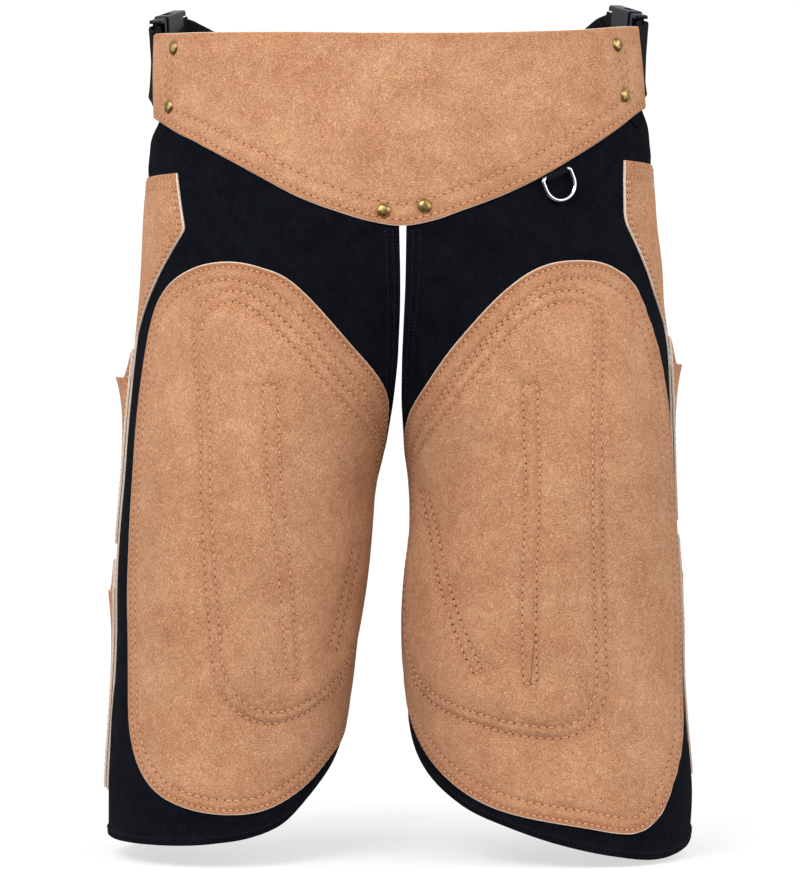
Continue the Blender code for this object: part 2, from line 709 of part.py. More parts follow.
def buckle(side):
    """A fastened side-release buckle. In its own frame X runs to the back, Y up and Z out."""
    middle, back, up, out = buckle_frame(side)
    half = BUCKLE_LENGTH / 2
    plug_middle = -half + PLUG_BASE / 2
    socket_length = BUCKLE_LENGTH - PLUG_BASE - SEAM_GAP
    socket_middle = half - socket_length / 2
    plug_size = (PLUG_BASE, BUCKLE_HEIGHT - 2 * PLUG_MARGIN, BUCKLE_DEPTH - PLUG_THINNER)
    plug = block(f"buckle_plug_{side}", plug_size, (plug_middle, 0, 0), apron, bevel=PLUG_BEVEL)
    fit_bar(plug, f"plug_{side}", -1)
    prong_x = -half + PLUG_BASE + PRONG_LENGTH / 2 - MM
    for place, name in ((1, "high"), (-1, "low")):
        prong = block(f"add_prong_{name}_{side}", (PRONG_LENGTH + 2 * MM, PRONG_WIDTH, PRONG_DEPTH),
                      (prong_x, place * PRONG_PLACE, 0), cutters)
        join(plug, prong, "UNION")
    tongue = block(f"add_tongue_{side}", (PRONG_LENGTH, TONGUE_WIDTH, TONGUE_DEPTH), (prong_x, 0, 0), cutters)
    join(plug, tongue, "UNION")
    socket_size = (socket_length, BUCKLE_HEIGHT, BUCKLE_DEPTH)
    socket = block(f"buckle_socket_{side}", socket_size, (socket_middle, 0, 0), apron, bevel=SOCKET_BEVEL)
    mouth = half - socket_length
    hollow = block(f"cut_socket_{side}", HOLLOW, (mouth + HOLLOW_PLACE, 0, 0), cutters)
    join(socket, hollow, "DIFFERENCE")
    for place, name in ((1, "high"), (-1, "low")):
        window = block(f"cut_window_{name}_{side}", WINDOW,
                       (mouth + WINDOW_PLACE[0], place * WINDOW_PLACE[1], 0), cutters)
        join(socket, window, "DIFFERENCE")
    fit_bar(socket, f"socket_{side}", 1)
    turn = Matrix([Vector(back), Vector(up), Vector(np.cross(back, up))]).transposed().to_4x4()
    place = Matrix.Translation(Vector(middle)) @ turn
    for obj in list(apron.objects) + list(cutters.objects):
        if obj.name.endswith(side) and (obj.name.startswith("buckle") or obj.name in cutters.objects):
            obj.matrix_world = place


def bar_places(side):
    """The middles of the bars at the buckle's front and back ends."""
    middle, back, up, out = buckle_frame(side)
    reach = BUCKLE_LENGTH / 2 - BAR / 2
    return middle - back * reach, middle + back * reach


def fold_radius(depth):
    return depth / 2 + LOOP_CLEARANCE + WEBBING / 2


def belt_side(side):
    """Webbing from under the waist panel to the buckle's front bar, folded round it."""
    middle, back, up, out = buckle_frame(side)
    bar = bar_places(side)[0]
    line = BELT_LINE[side]
    angles = np.linspace(BELT_START[side], BELT_END[side], 6)
    heights = smooth(angles, line["angle"], line["height"]) * MM
    path = waist_point(SIDES[side] * angles, heights, WEBBING / 2)
    round_bar = fold(bar, back, out, fold_radius(BAR), FOLD_LEAD, FOLD_TAIL)
    centres = np.concatenate([path, round_bar])
    reach = BELT_WIDTH / 2
    edge = waist_point(SIDES[side] * angles, heights + reach) - waist_point(SIDES[side] * angles, heights - reach)
    upright = unit(edge)
    along = unit(np.gradient(path, axis=0))
    slant = np.linalg.norm(np.cross(along, upright), axis=1)
    across = np.concatenate([upright, np.tile(up, (len(round_bar), 1))])
    widths = np.concatenate([BELT_WIDTH / slant, np.full(len(round_bar), BELT_WIDTH)])
    return centres, across, widths


def belt_back():
    """Webbing from bar to bar round the back of the waist, folded round each."""
    ends = []
    for side in ("right", "left"):
        middle, back, up, out = buckle_frame(side)
        bar = bar_places(side)[1]
        ends.append((fold(bar, -back, out, fold_radius(BAR), FOLD_LEAD, FOLD_TAIL)[::-1], up))
    angles = np.radians(np.linspace(*BACK_ANGLES, 15))
    rise = ((angles - np.pi) / (angles[-1] - np.pi)) ** 2
    heights = BACK_HEIGHT + (BACK_END_HEIGHT - BACK_HEIGHT) * rise
    path = np.stack([BACK_WIDTH * np.sin(angles), -BACK_DEPTH * np.cos(angles), heights], axis=1)
    centres = np.concatenate([ends[0][0], path, ends[1][0][::-1]])
    ups = [ends[0][1]] * len(ends[0][0]) + [np.array([0, 0, 1.0])] * len(path) + [ends[1][1]] * len(ends[1][0])
    return centres, np.array(ups)


def ring_frame():
    """The ring's bar: its middle, its direction, the way down from it, and out."""
    point = waist_point(RING_ANGLE, RING_HEIGHT, CANVAS)
    out = unit(waist_point(RING_ANGLE, RING_HEIGHT, 2 * CANVAS) - point)
    level = unit(np.cross((0, 0, 1.0), out))
    tilt = np.radians(RING_TILT)
    along = level * np.cos(tilt) + np.array([0, 0, 1.0]) * np.sin(tilt)
    down = -unit(np.array([0, 0, 1.0]) - along * along[2])
    stand = SEAM_GAP + LOOP_WEBBING + LOOP_CLEARANCE + RING_WIRE
    return point + out * stand, along, down, out


def d_ring():
    """The chrome ring hangs from its bar: a rounded corner, a straight side and a half circle."""
    middle, along, down, out = ring_frame()
    half = RING_RADIUS
    path = []
    for a in np.radians(np.linspace(90, 180, 4)):
        path.append((-half + RING_CORNER + RING_CORNER * np.cos(a), RING_CORNER - RING_CORNER * np.sin(a)))
    for a in np.radians(np.linspace(180, 0, 11)):
        path.append((half * np.cos(a), RING_SIDE + half * np.sin(a)))
    for a in np.radians(np.linspace(0, 90, 4)):
        path.append((half - RING_CORNER + RING_CORNER * np.cos(a), RING_CORNER - RING_CORNER * np.sin(a)))
    curve = bpy.data.curves.new("d_ring", "CURVE")
    curve.dimensions = "3D"
    curve.bevel_depth = RING_WIRE
    curve.bevel_resolution = 2
    line = curve.splines.new("POLY")
    line.points.add(len(path) - 1)
    for point, (x, drop) in zip(line.points, path):
        point.co = (x, -drop, 0, 1)
    line.use_cyclic_u = True
    ring = add_object("d_ring", curve, "chrome")
    ahead = np.cross(along, -down)
    turn = Matrix([Vector(along), Vector(-down), Vector(ahead)]).transposed().to_4x4()
    ring.matrix_world = Matrix.Translation(Vector(middle)) @ turn


def ring_loop():
    """The webbing loop that holds the ring's bar against the canvas."""
    middle, along, down, out = ring_frame()
    flat = unit(np.cross(out, along))
    flat = flat * -np.sign(flat[2])
    radius = RING_WIRE + LOOP_CLEARANCE + LOOP_WEBBING / 2
    centres = fold(middle, flat, out, radius, LOOP_REACH, LOOP_REACH, steps=9)
    band("ring_loop", centres, np.tile(along, (len(centres), 1)), LOOP_WIDTH, LOOP_WEBBING, "webbing")


def leg_strap(side):
    """A plain strap behind the thigh, sewn inside the canvas at both of its edges."""
    turns = np.linspace(*STRAP_TURNS, 13)
    inward = -(STRAP_GAP + WEBBING / 2)
    low, centres, high = (
        leg_point(side, turns, STRAP_HEIGHT + rise, inward) for rise in (-STRAP_WIDTH / 2, 0, STRAP_WIDTH / 2)
    )
    band(f"leg_strap_{side}", centres, unit(high - low), STRAP_WIDTH, WEBBING, "webbing")


clear_scene()
apron = new_collection("farrier_apron")
cutters = new_collection("cutters")

waist_panel()
for side in SIDES:
    leg_panel(side)
    knee_patch(side)
    hip_patch(side)
    pocket("upper", side)
    pocket("lower", side)
    leg_strap(side)
    buckle(side)
    centres, across, widths = belt_side(side)
    band(f"belt_side_{side}", centres, across, widths, WEBBING, "webbing")
band("belt_back", *belt_back(), BELT_WIDTH, WEBBING, "webbing")
for name, (angle, height) in RIVETS.items():
    rivet(name, angle, height)
d_ring()
ring_loop()
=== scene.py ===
"""The farrier apron's looks: sewn suede, canvas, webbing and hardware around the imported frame.

Places on the cloth are two numbers, as in the solids: on the waist the angle round the body and the
height, on a leg the turn round the thigh from its front line, in degrees and positive towards the
outside, and the height. Tables hold millimetres and degrees. Left and right are the viewer's.
"""

import bmesh
import bpy
import numpy as np
from mathutils import Matrix, Vector
from mathutils.bvhtree import BVHTree
from mathutils.kdtree import KDTree


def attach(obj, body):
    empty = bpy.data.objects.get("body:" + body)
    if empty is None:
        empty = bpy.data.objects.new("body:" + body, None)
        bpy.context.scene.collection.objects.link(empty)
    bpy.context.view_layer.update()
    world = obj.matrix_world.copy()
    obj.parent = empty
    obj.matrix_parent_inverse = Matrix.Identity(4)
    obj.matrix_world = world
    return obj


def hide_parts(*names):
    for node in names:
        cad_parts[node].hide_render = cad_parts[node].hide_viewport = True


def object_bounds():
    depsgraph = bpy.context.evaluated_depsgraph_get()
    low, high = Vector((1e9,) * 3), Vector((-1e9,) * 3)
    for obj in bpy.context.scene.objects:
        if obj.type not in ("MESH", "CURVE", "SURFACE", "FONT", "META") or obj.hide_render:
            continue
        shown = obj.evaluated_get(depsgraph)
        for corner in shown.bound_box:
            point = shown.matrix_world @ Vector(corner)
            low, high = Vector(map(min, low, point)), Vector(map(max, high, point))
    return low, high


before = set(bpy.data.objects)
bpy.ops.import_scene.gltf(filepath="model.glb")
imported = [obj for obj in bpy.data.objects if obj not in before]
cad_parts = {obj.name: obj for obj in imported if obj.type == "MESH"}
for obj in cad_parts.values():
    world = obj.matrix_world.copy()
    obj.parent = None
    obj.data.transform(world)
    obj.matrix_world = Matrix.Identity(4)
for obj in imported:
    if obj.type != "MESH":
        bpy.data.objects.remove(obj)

CAD_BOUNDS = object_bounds()
MM = 0.001
SIDES = {"left": -1, "right": 1}

CANVAS = 1.5 * MM
SUEDE = 1.8 * MM
WEBBING = 1.8 * MM
LOOP_WEBBING = 1.2 * MM
LAID = 0.25 * MM

FRONT_LINE_ANGLE = 34.0
WAIST_PER_TURN = 0.6
# About how many millimetres of cloth one degree covers, round a leg and round the waist.
TURN_WIDTH = 1.9
WAIST_WIDTH = 2.9
LEG_FLAT = (TURN_WIDTH, 1)
WAIST_FLAT = (WAIST_WIDTH, 1)


def table(columns, rows):
    """Named columns from rows of numbers."""
    return dict(zip(columns.split(), np.array(rows, float).T))


SECTION_COLUMNS = "height inner outer front middle thigh"
HIP_ROWS = [
    (45, 0, 191, 126, 0, 0),
    (10, 0, 193, 126, 0, 0),
    (-26, 0, 194, 126.5, 0, 0),
    (-66, 0, 196, 127, 0, 0),
    (-106, 0, 198.5, 127, 0, 0),
]
LEG_SECTIONS = {
    "left": table(SECTION_COLUMNS, HIP_ROWS + [
        (-140, 2, 200, 127, -2, 0.08),
        (-170, 3, 202, 126.5, -4, 0.24),
        (-200, 4, 205, 126, -6, 0.45),
        (-235, 8, 208.5, 125.5, -8, 0.66),
        (-270, 18, 211.5, 125, -9, 0.84),
        (-300, 25.2, 213.5, 124.5, -10, 0.94),
        (-320, 26.5, 215.2, 124, -10, 0.975),
        (-340, 27.3, 217, 123.5, -10, 0.993),
        (-390, 32, 219.8, 122, -9, 1),
        (-425, 36.5, 220, 121, -8, 1),
        (-460, 40.5, 221.5, 119.5, -7, 1),
        (-495, 45, 224, 118, -6, 1),
        (-540, 50, 226.9, 116.5, -5, 1),
        (-600, 53, 226.9, 115, -5, 1),
    ]),
    "right": table(SECTION_COLUMNS, HIP_ROWS + [
        (-140, 2, 202.5, 127, -2, 0.08),
        (-170, 3, 204, 126.5, -4, 0.24),
        (-200, 4, 208, 126, -6, 0.45),
        (-235, 6, 209.8, 125.5, -8, 0.66),
        (-270, 10.5, 211, 125, -9, 0.84),
        (-300, 13.5, 212.2, 124.5, -10, 0.94),
        (-320, 12.8, 213, 124, -10, 0.975),
        (-340, 11.5, 214, 123.5, -10, 0.993),
        (-380, 7, 216.5, 122.3, -9, 1),
        (-415, 5, 219, 121, -8, 1),
        (-460, 6.5, 220, 119.5, -7, 1),
        (-495, 9.5, 222.5, 118, -6, 1),
        (-540, 13, 226.5, 116.5, -5, 1),
        (-600, 16, 226.2, 115, -5, 1),
    ]),
}
LEG_EDGES = {
    "left": table("height inner outer", [
        (22, -56.5, 57), (-15, -56.5, 60), (-28, -56.5, 66), (-47, -56.5, 92), (-75, -56.5, 106),
        (-114, -56.5, 117), (-168, -59, 127), (-205, -62, 131), (-243, -67, 134), (-270, -76, 135),
        (-300, -93, 136), (-340, -109, 137), (-400, -117, 137), (-470, -119, 137), (-590, -118, 137),
    ]),
    "right": table("height inner outer", [
        (22, -54.5, 59), (-10, -54.5, 62), (-20, -54.5, 69), (-38, -54.5, 92), (-70, -54.5, 106),
        (-114, -54.5, 117), (-168, -57, 127), (-205, -61.5, 131), (-243, -68.5, 134), (-270, -77, 135),
        (-300, -93, 136), (-340, -107, 137), (-400, -115, 137), (-470, -118, 137), (-600, -118, 137),
    ]),
}
LEG_HEM = {
    "left": table("turn height", [
        (-118, -470), (-90, -496), (-64, -530), (-49, -548), (-34, -566),
        (-17, -575), (0, -579), (37, -582), (90, -582), (137, -580),
    ]),
    "right": table("turn height", [
        (-118, -472), (-90, -498), (-73, -521), (-54, -542), (-40, -555), (-22, -567),
        (-2, -579), (22, -589.5), (42, -594.5), (67, -590.5), (90, -583), (137, -578),
    ]),
}
HEM_BAND = 6.5 * MM
HEM_STEP = 0.8 * MM
LEG_TOP = {
    "left": table("turn height", [(-60, 22), (30, 22), (38, 4), (45, -33.5), (57, -27.5), (67, -21.5)]),
    "right": table("turn height", [(-60, 22), (28, 22), (35, 6), (42, -29), (53, -22), (64, -15.5)]),
}
PANEL = table("angle top bottom", [
    (-80, 42, -24.3), (-71.3, 40.4, -30.3), (-61.5, 38.4, -39), (-52, 37, -47.5),
    (-41, 35.4, -62), (-32, 34.2, -76), (-23, 33.2, -91), (-14, 32.3, -102.5), (-6, 31.6, -110.5),
    (0, 31.5, -113.5), (7, 31.6, -109.8), (14, 32, -101.5), (23, 33.1, -90), (32, 34.7, -76.5),
    (41, 36.8, -61.5), (52, 40, -44.5), (60.5, 42.5, -33), (70, 44.7, -21.8), (77, 46, -16.6),
])
# How far the panel's two ends lean out at their top and at their bottom, in degrees round the body.
PANEL_LEAN = {"left": (-0.5, -4.5), "right": (-5.5, -2.0)}
LEAN_START = 50.0
PANEL_LIFT = table("angle lift", [(0, 2.1), (45, 2.1), (60, 2.75), (90, 2.75)])
PATCH_BORDER = {
    "left": [
        (12, -139.5), (-4, -144.5), (-18, -158), (-40, -202), (-60, -237), (-73, -270), (-89, -303),
        (-103, -350), (-109, -405), (-106, -450), (-90, -496), (-65, -518), (-43, -541), (-22, -555),
        (0, -556.5), (20, -549.5), (35, -536), (47, -512), (54, -480), (58.5, -420), (60, -360),
        (62.5, -300), (63.5, -240), (59, -185), (48, -159), (30, -144),
    ],
    "right": [
        (12, -138.5), (-4, -144), (-18, -162), (-36, -198), (-52, -232), (-67, -257), (-84, -291),
        (-99, -345), (-106, -405), (-100, -455), (-80, -491), (-54, -528), (-27, -553), (8, -566.5),
        (31, -573), (45, -562), (55, -539), (70, -499), (75.5, -445), (79, -370), (78, -305),
        (72.5, -252), (62, -204), (49, -161), (30, -142),
    ],
}
PATCH_SPINE = {"left": (-22, -240, -465), "right": (-6, -240, -475)}
# The outer of the two stitched rows round the padded middle of each patch: turn and height.
PAD_LINE = {
    "left": [
        (10, -162.5), (18, -167), (24.5, -174), (27, -185), (26, -215), (20, -271), (16, -332), (11, -395),
        (8, -432), (5, -454), (-1, -470.5), (-8, -481), (-19, -488), (-32, -486.5), (-48, -476),
        (-66, -458.5),
        (-82, -432), (-91, -398), (-92, -352), (-86, -312), (-76, -284), (-65.7, -268), (-38.4, -234),
        (-22.7, -204), (-10.4, -181), (-2.8, -169.5), (3.5, -163.8),
    ],
    "right": [
        (10, -162), (18, -165.4), (23, -171.5), (24.5, -186), (23.2, -245), (22, -305), (22.5, -380),
        (22.8, -455), (20, -475), (14.4, -490), (6, -497.5), (-3.7, -499), (-19, -495), (-41, -484.5),
        (-54.5, -475.5), (-66, -463), (-76, -440), (-81, -403), (-83, -350), (-78, -305), (-68.8, -280.4),
        (-45.4, -246), (-27.5, -208), (-16, -183), (-4.2, -168), (2.4, -163.4),
    ],
}
PAD_ROW_GAP = 8.7
# Stitched strips inside the padded middle: corners in order, turn and height.
STRIPS = {
    "left": [
        [(-27.6, -452.5), (-4.1, -233.7), (-9.9, -233.5), (-33.5, -456.5)],
        [(-56.2, -435), (-67.9, -355), (-60.5, -354.6), (-50.9, -434.4)],
    ],
    "right": [
        [(-10.2, -457.5), (-10.3, -233.2), (-4.3, -233.3), (-5.2, -457.4)],
        [(-30.8, -450.4), (-64.9, -314.3), (-59.1, -314.1), (-26.4, -450.1)],
    ],
}
HIP_PATCH = {
    "left": table("height front back", [
        (-69.5, 43, 116), (-84, 40.5, 120), (-112, 35.5, 122), (-116, 36.5, 122.5), (-136, 48, 125),
        (-165, 65, 127), (-195, 82, 129), (-230, 87, 129), (-300, 87, 129), (-420, 87, 129), (-549, 87, 129),
    ]),
    "right": table("height front back", [
        (-59.5, 44.5, 115), (-74, 43.5, 119), (-102, 42.5, 121), (-109, 43.5, 122), (-136, 54.5, 125),
        (-160, 65.5, 127), (-186, 81, 128), (-215, 86, 129), (-300, 92, 130), (-420, 94, 131),
        (-540, 95, 131),
    ]),
}
POCKETS = {
    ("upper", "left"): dict(corner=-204, mouth=-226, bottom=-356, open=16, closes=0.30),
    ("upper", "right"): dict(corner=-194, mouth=-215, bottom=-338, open=12, closes=0.38),
    ("lower", "left"): dict(corner=-368, mouth=-393, bottom=-547, open=8.5, closes=0.45),
    ("lower", "right"): dict(corner=-349, mouth=-379, bottom=-538, open=7.5, closes=0.45),
}
MOUTH_CORNER = 0.35
RIVETS = {
    "rivet_left_upper": (-62.8, 27.3),
    "rivet_left_lower": (-64.3, -17.8),
    "rivet_right_upper": (58.5, 28.9),
    "rivet_right_lower": (61.2, -9.5),
    "rivet_front_left": (-3.5, -102.4),
    "rivet_front_right": (5.3, -99.0),
}
RIVET_RADIUS = 5.15 * MM
RIVET_HEIGHT = 2.3 * MM
RIVET_LIFT = 0.3 * MM

BELT_WIDTH = 50.8 * MM
BELT_LINE = {
    "left": table("angle height", [(60, -4), (68, 3.5), (80, 16)]),
    "right": table("angle height", [(60, 5), (68, 12), (77, 20)]),
}
BELT_START = {"left": 66.5, "right": 63.5}
BELT_END = {"left": 80.0, "right": 77.0}
BUCKLE = {
    "left": dict(x=183.5, y=27, z=32.5, turn=12, rise=12),
    "right": dict(x=180, y=27, z=36.5, turn=14, rise=12),
}
BUCKLE_LENGTH = 72 * MM
BAR = 3.6 * MM
BACK_WIDTH = 192.5 * MM
BACK_DEPTH = 127 * MM
BACK_ANGLES = (128.0, 232.0)
BACK_HEIGHT = 24 * MM
BACK_END_HEIGHT = 29 * MM
FOLD_LEAD = 6 * MM
FOLD_TAIL = 12 * MM
LOOP_CLEARANCE = 0.45 * MM

RING_ANGLE = 36.2
RING_HEIGHT = -73.2 * MM
RING_TILT = 24.0
RING_WIRE = 1.5 * MM
RING_RADIUS = 12.7 * MM
RING_SIDE = 8 * MM
RING_CORNER = 2.5 * MM
LOOP_WIDTH = 19 * MM
LOOP_REACH = 2 * MM
SEAM_GAP = 0.3 * MM

STRAP_HEIGHT = -375 * MM
STRAP_WIDTH = 38 * MM
STRAP_TURNS = (127.0, 250.0)
STRAP_GAP = 1.3 * MM

# Soft creases in the canvas: where each starts and ends, its half width and its height.
CREASES = {
    "left": table("turn height to_turn to_height width rise", [
        (-30, -108, 28, -140, 9, 1.1),
        (8, -84, 46, -118, 9, -0.8),
        (-46, -128, -26, -178, 7, 1.0),
        (58, -84, 92, -60, 12, 0.9),
        (60.4, -40, 60.4, -72, 2.2, 0.7),
        (66, -150, 76, -230, 6, -0.9),
        (110, -330, 134, -300, 12, 1.6),
        (104, -470, 134, -430, 14, -1.8),
        (70, -566, 84, -470, 7, 1.0),
        (-20, -574, -6, -560, 9, 0.9),
    ]),
    "right": table("turn height to_turn to_height width rise", [
        (-34, -112, 20, -136, 9, 1.0),
        (14, -98, 52, -128, 9, -0.8),
        (-50, -130, -32, -186, 7, 0.9),
        (60, -70, 94, -52, 12, 0.9),
        (59.4, -32, 59.4, -48, 2.2, 0.7),
        (68, -140, 80, -214, 7, -1.0),
        (108, -300, 134, -322, 12, -1.6),
        (106, -500, 134, -450, 15, 1.7),
        (78, -575, 88, -520, 8, 0.9),
        (-40, -552, -24, -556, 8, 0.8),
    ]),
}

BORDER_STITCH = 5.0 * MM
PAD_STITCH = 6.1 * MM
STRIP_STITCH = 5.7 * MM
HIP_STITCH = 5.2 * MM
OUTER_STITCH = 5.9 * MM
INNER_STITCH = 7.2 * MM
CANVAS_STITCH = 3.2 * MM


def smooth(x, xs, ys):
    """A smooth curve through a table's rows, held level past its ends."""
    if xs[0] > xs[-1]:
        xs, ys = xs[::-1], ys[::-1]
    slope = np.gradient(ys, xs)
    x = np.clip(x, xs[0], xs[-1])
    i = np.clip(np.searchsorted(xs, x) - 1, 0, len(xs) - 2)
    step = xs[i + 1] - xs[i]
    t = (x - xs[i]) / step
    rise = ys[i + 1] - ys[i]
    start, end = slope[i] * step, slope[i + 1] * step
    return ys[i] + t * (start + t * (3 * rise - 2 * start - end + t * (start + end - 2 * rise)))


def unit(v):
    return v / np.linalg.norm(v, axis=-1, keepdims=True)


def pairs(first, second):
    """Places as rows of two numbers, from two grids or lines of numbers."""
    return np.stack([np.ravel(v) for v in np.broadcast_arrays(first, second)], axis=1)


def looped(line):
    """A closed line with its first point added at its end."""
    return np.concatenate([line, line[:1]])


def bell(gone, width):
    """One in the middle of a seam, falling smoothly to nothing away from it."""
    return np.exp(-(gone / width) ** 2)


def rolled(gone, width):
    """One at an edge, falling to nothing within a width of it."""
    return np.clip(1 - gone / width, 0, 1) ** 2


def leg_base(side, turn, height):
    """The inside of a leg panel: the hips' oval, passing into the thigh's oval lower down."""
    rows = LEG_SECTIONS[side]
    z = height / MM
    inner, outer, front, middle, thigh = (
        smooth(z, rows["height"], rows[name]) for name in ("inner", "outer", "front", "middle", "thigh")
    )
    thigh = np.clip(thigh, 0, 1)
    round_thigh = np.radians(turn)
    round_waist = np.radians(FRONT_LINE_ANGLE + WAIST_PER_TURN * turn)
    hip_x, hip_y = outer * np.sin(round_waist), -front * np.cos(round_waist)
    thigh_x = (inner + outer) / 2 + (outer - inner) / 2 * np.sin(round_thigh)
    thigh_y = middle - (front + middle) * np.cos(round_thigh)
    x = hip_x + thigh * (thigh_x - hip_x)
    y = hip_y + thigh * (thigh_y - hip_y)
    return np.stack([SIDES[side] * x * MM, y * MM, height], axis=-1)


def leg_point(side, turn, height, out=0.0):
    """A point on a leg, moved out of the cloth by a distance."""
    turn, height, out = np.broadcast_arrays(*(np.asarray(v, float) for v in (turn, height, out)))
    across = leg_base(side, turn + 0.5, height) - leg_base(side, turn - 0.5, height)
    up = leg_base(side, turn, height + MM) - leg_base(side, turn, height - MM)
    away = unit(np.cross(across, up)) * SIDES[side]
    return leg_base(side, turn, height) + away * out[..., None]


def waist_point(angle, height, out=0.0):
    """A point on the waist and hips, moved out; a negative angle is on the left."""
    angle, height, out = np.broadcast_arrays(*(np.asarray(v, float) for v in (angle, height, out)))
    turn = (np.abs(angle) - FRONT_LINE_ANGLE) / WAIST_PER_TURN
    point = leg_point("right", turn, height, out)
    point[..., 0] *= np.where(angle < 0, -1, 1)
    return point


def grid_faces(across, down):
    r, c = np.meshgrid(np.arange(down - 1), np.arange(across - 1), indexing="ij")
    first = (r * across + c).ravel()
    return np.stack([first, first + 1, first + across + 1, first + across], axis=1)


def tube_faces(around, rings, first=0, closed=False):
    """Quads between rings of points; closed joins the last ring to the first one."""
    faces = []
    for ring in range(rings if closed else rings - 1):
        a, b = (first + i % rings * around for i in (ring, ring + 1))
        for k in range(around):
            n = (k + 1) % around
            faces.append((a + k, a + n, b + n, b + k))
    return faces


def cap_face(around, first=0):
    return tuple(range(first, first + around))


def circle(count):
    """The angles of points evenly round a circle."""
    return np.arange(count) * 2 * np.pi / count


def ring_faces(around, rings):
    """Quads between closed rings, and a ladder of quads across the last one."""
    r, c = (v.ravel() for v in np.meshgrid(np.arange(rings - 1), np.arange(around), indexing="ij"))
    n = (c + 1) % around
    quads = np.stack([r * around + c, r * around + n, (r + 1) * around + n, (r + 1) * around + c], axis=1)
    last = (rings - 1) * around
    c = np.arange(1, around // 2 - 1)
    ladder = np.stack([last + c, last + c + 1, last + around - c - 1, last + around - c], axis=1)
    ends = [
        (last, last + 1, last + around - 1, last),
        (last + around // 2 - 1, last + around // 2, last + around // 2 + 1, last + around // 2 - 1),
    ]
    return np.concatenate([quads, ladder, np.array(ends)])


def add_mesh(name, points, faces, materials, slots=None, flat=False):
    """An object from points and faces, turned outwards; slots holds each face's material."""
    mesh = bpy.data.meshes.new(name)
    faces = [tuple(dict.fromkeys(face)) for face in faces]
    mesh.from_pydata(np.asarray(points).tolist(), [], faces)
    for item in materials:
        mesh.materials.append(item)
    if slots is not None:
        mesh.polygons.foreach_set("material_index", np.asarray(slots, np.int32))
    shape = bmesh.new()
    shape.from_mesh(mesh)
    bmesh.ops.recalc_face_normals(shape, faces=shape.faces)
    shape.to_mesh(mesh)
    shape.free()
    if not flat:
        mesh.shade_smooth()
        mesh.set_sharp_from_angle(angle=np.radians(50))
    obj = bpy.data.objects.new(name, mesh)
    bpy.context.scene.collection.objects.link(obj)
    return obj


def rim_of(faces):
    """The directed edges along the border of a set of faces."""
    edges = np.concatenate([faces[:, [k, (k + 1) % 4]] for k in range(4)])
    edges = edges[edges[:, 0] != edges[:, 1]]
    known = set(map(tuple, edges.tolist()))
    return [(a, b) for a, b in known if (b, a) not in known]


def wall(name, inside, outside, faces, materials, pale=None):
    """A closed wall of cloth; its cut rim, and the outside faces marked pale, take the second material."""
    count = len(inside)
    rim = sorted(rim_of(faces))
    closed = [tuple(face[::-1]) for face in faces.tolist()]
    closed += [tuple(i + count for i in face) for face in faces.tolist()]
    face_slots = np.zeros(len(faces), int) if pale is None else np.asarray(pale, int)
    slots = [0] * len(faces) + face_slots.tolist() + [1] * len(rim)
    closed += [(a, b, b + count, a + count) for a, b in rim]
    return add_mesh(name, np.concatenate([inside, outside]), closed, materials, slots)


def pale_rim(across, down, sides, ends):
    """Which faces of a grid lie in its first and last columns and rows; each is a count of faces."""
    r, c = np.meshgrid(np.arange(down - 1), np.arange(across - 1), indexing="ij")
    first, last = sides
    top, bottom = ends
    pale = (c < first) | (c >= across - 1 - last) | (r < top) | (r >= down - 1 - bottom)
    return pale.ravel()


def seam_mark(obj, values):
    """How near each point of a piece's face is to a seam or an edge, which the suede reads."""
    layer = obj.data.attributes.new("seam", "FLOAT", "POINT")
    layer.data.foreach_set("value", np.tile(np.asarray(values, np.float32).ravel(), 2))


def dress(obj, body="apron"):
    """Puts a piece in place of its solid, whose name follows the first _ of the piece's own."""
    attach(obj, body)
    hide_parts(obj.name.split("_", 1)[1])


def suede_face(near, edge, rise, groove, roll):
    """How thick suede stands. It rises away from a seam, sinks in it, and is rolled down at its edge.

    Each of the three is a height and the width that it takes, in millimetres.
    """
    (high, wide), (deep, narrow), (down, rim) = rise, groove, roll
    return SUEDE + (high * (1 - bell(near, wide)) - deep * bell(near, narrow) - down * rolled(edge, rim)) * MM


def grid_piece(name, layers, cloth, slot, **pale):
    """A cut piece laid as a grid, from its inside and outside points; pale names its rims of cut edge."""
    down, across = layers[1].shape[:2]
    inside, outside = (layer.reshape(-1, 3) for layer in layers)
    rims = pale_rim(across, down, **pale) if pale else None
    obj = wall(name, inside, outside, grid_faces(across, down), [cloth, CUT_EDGE if pale else cloth], rims)
    dress(obj)
    return obj


def sheet(obj, outside, threads, **held):
    """Measures the flat size of a piece laid as a grid, along its rows and columns."""
    size = (longest(outside), longest(outside.transpose(1, 0, 2)))


def longest(lines):
    """The longest of several lines of points."""
    return float(np.linalg.norm(np.diff(lines, axis=1), axis=2).sum(axis=1).max())


def closed_curve(points, steps):
    """A smooth closed curve through points, evenly spaced, from its highest to its lowest and back."""
    points = np.array(points, float)
    count = len(points)
    t = np.linspace(0, 1, 12, endpoint=False)[:, None]
    fine = []
    for i in range(count):
        a, b, c, d = (points[(i + k) % count] for k in (-1, 0, 1, 2))
        fine.append(b + 0.5 * t * (c - a + t * (2 * a - 5 * b + 4 * c - d + t * (3 * (b - c) + d - a))))
    fine = np.concatenate(fine)
    fine = np.roll(fine, -int(fine[:, 1].argmax()), axis=0)
    low = int(fine[:, 1].argmin())
    halves = []
    for part in (fine[: low + 1], np.concatenate([fine[low:], fine[:1]])):
        step = np.linalg.norm(np.diff(part, axis=0) * LEG_FLAT, axis=1)
        along = np.concatenate([[0], np.cumsum(step)])
        at = np.linspace(0, along[-1], steps // 2 + 1)[:-1]
        halves.append(np.stack([np.interp(at, along, part[:, k]) for k in (0, 1)], axis=1))
    return np.concatenate(halves)


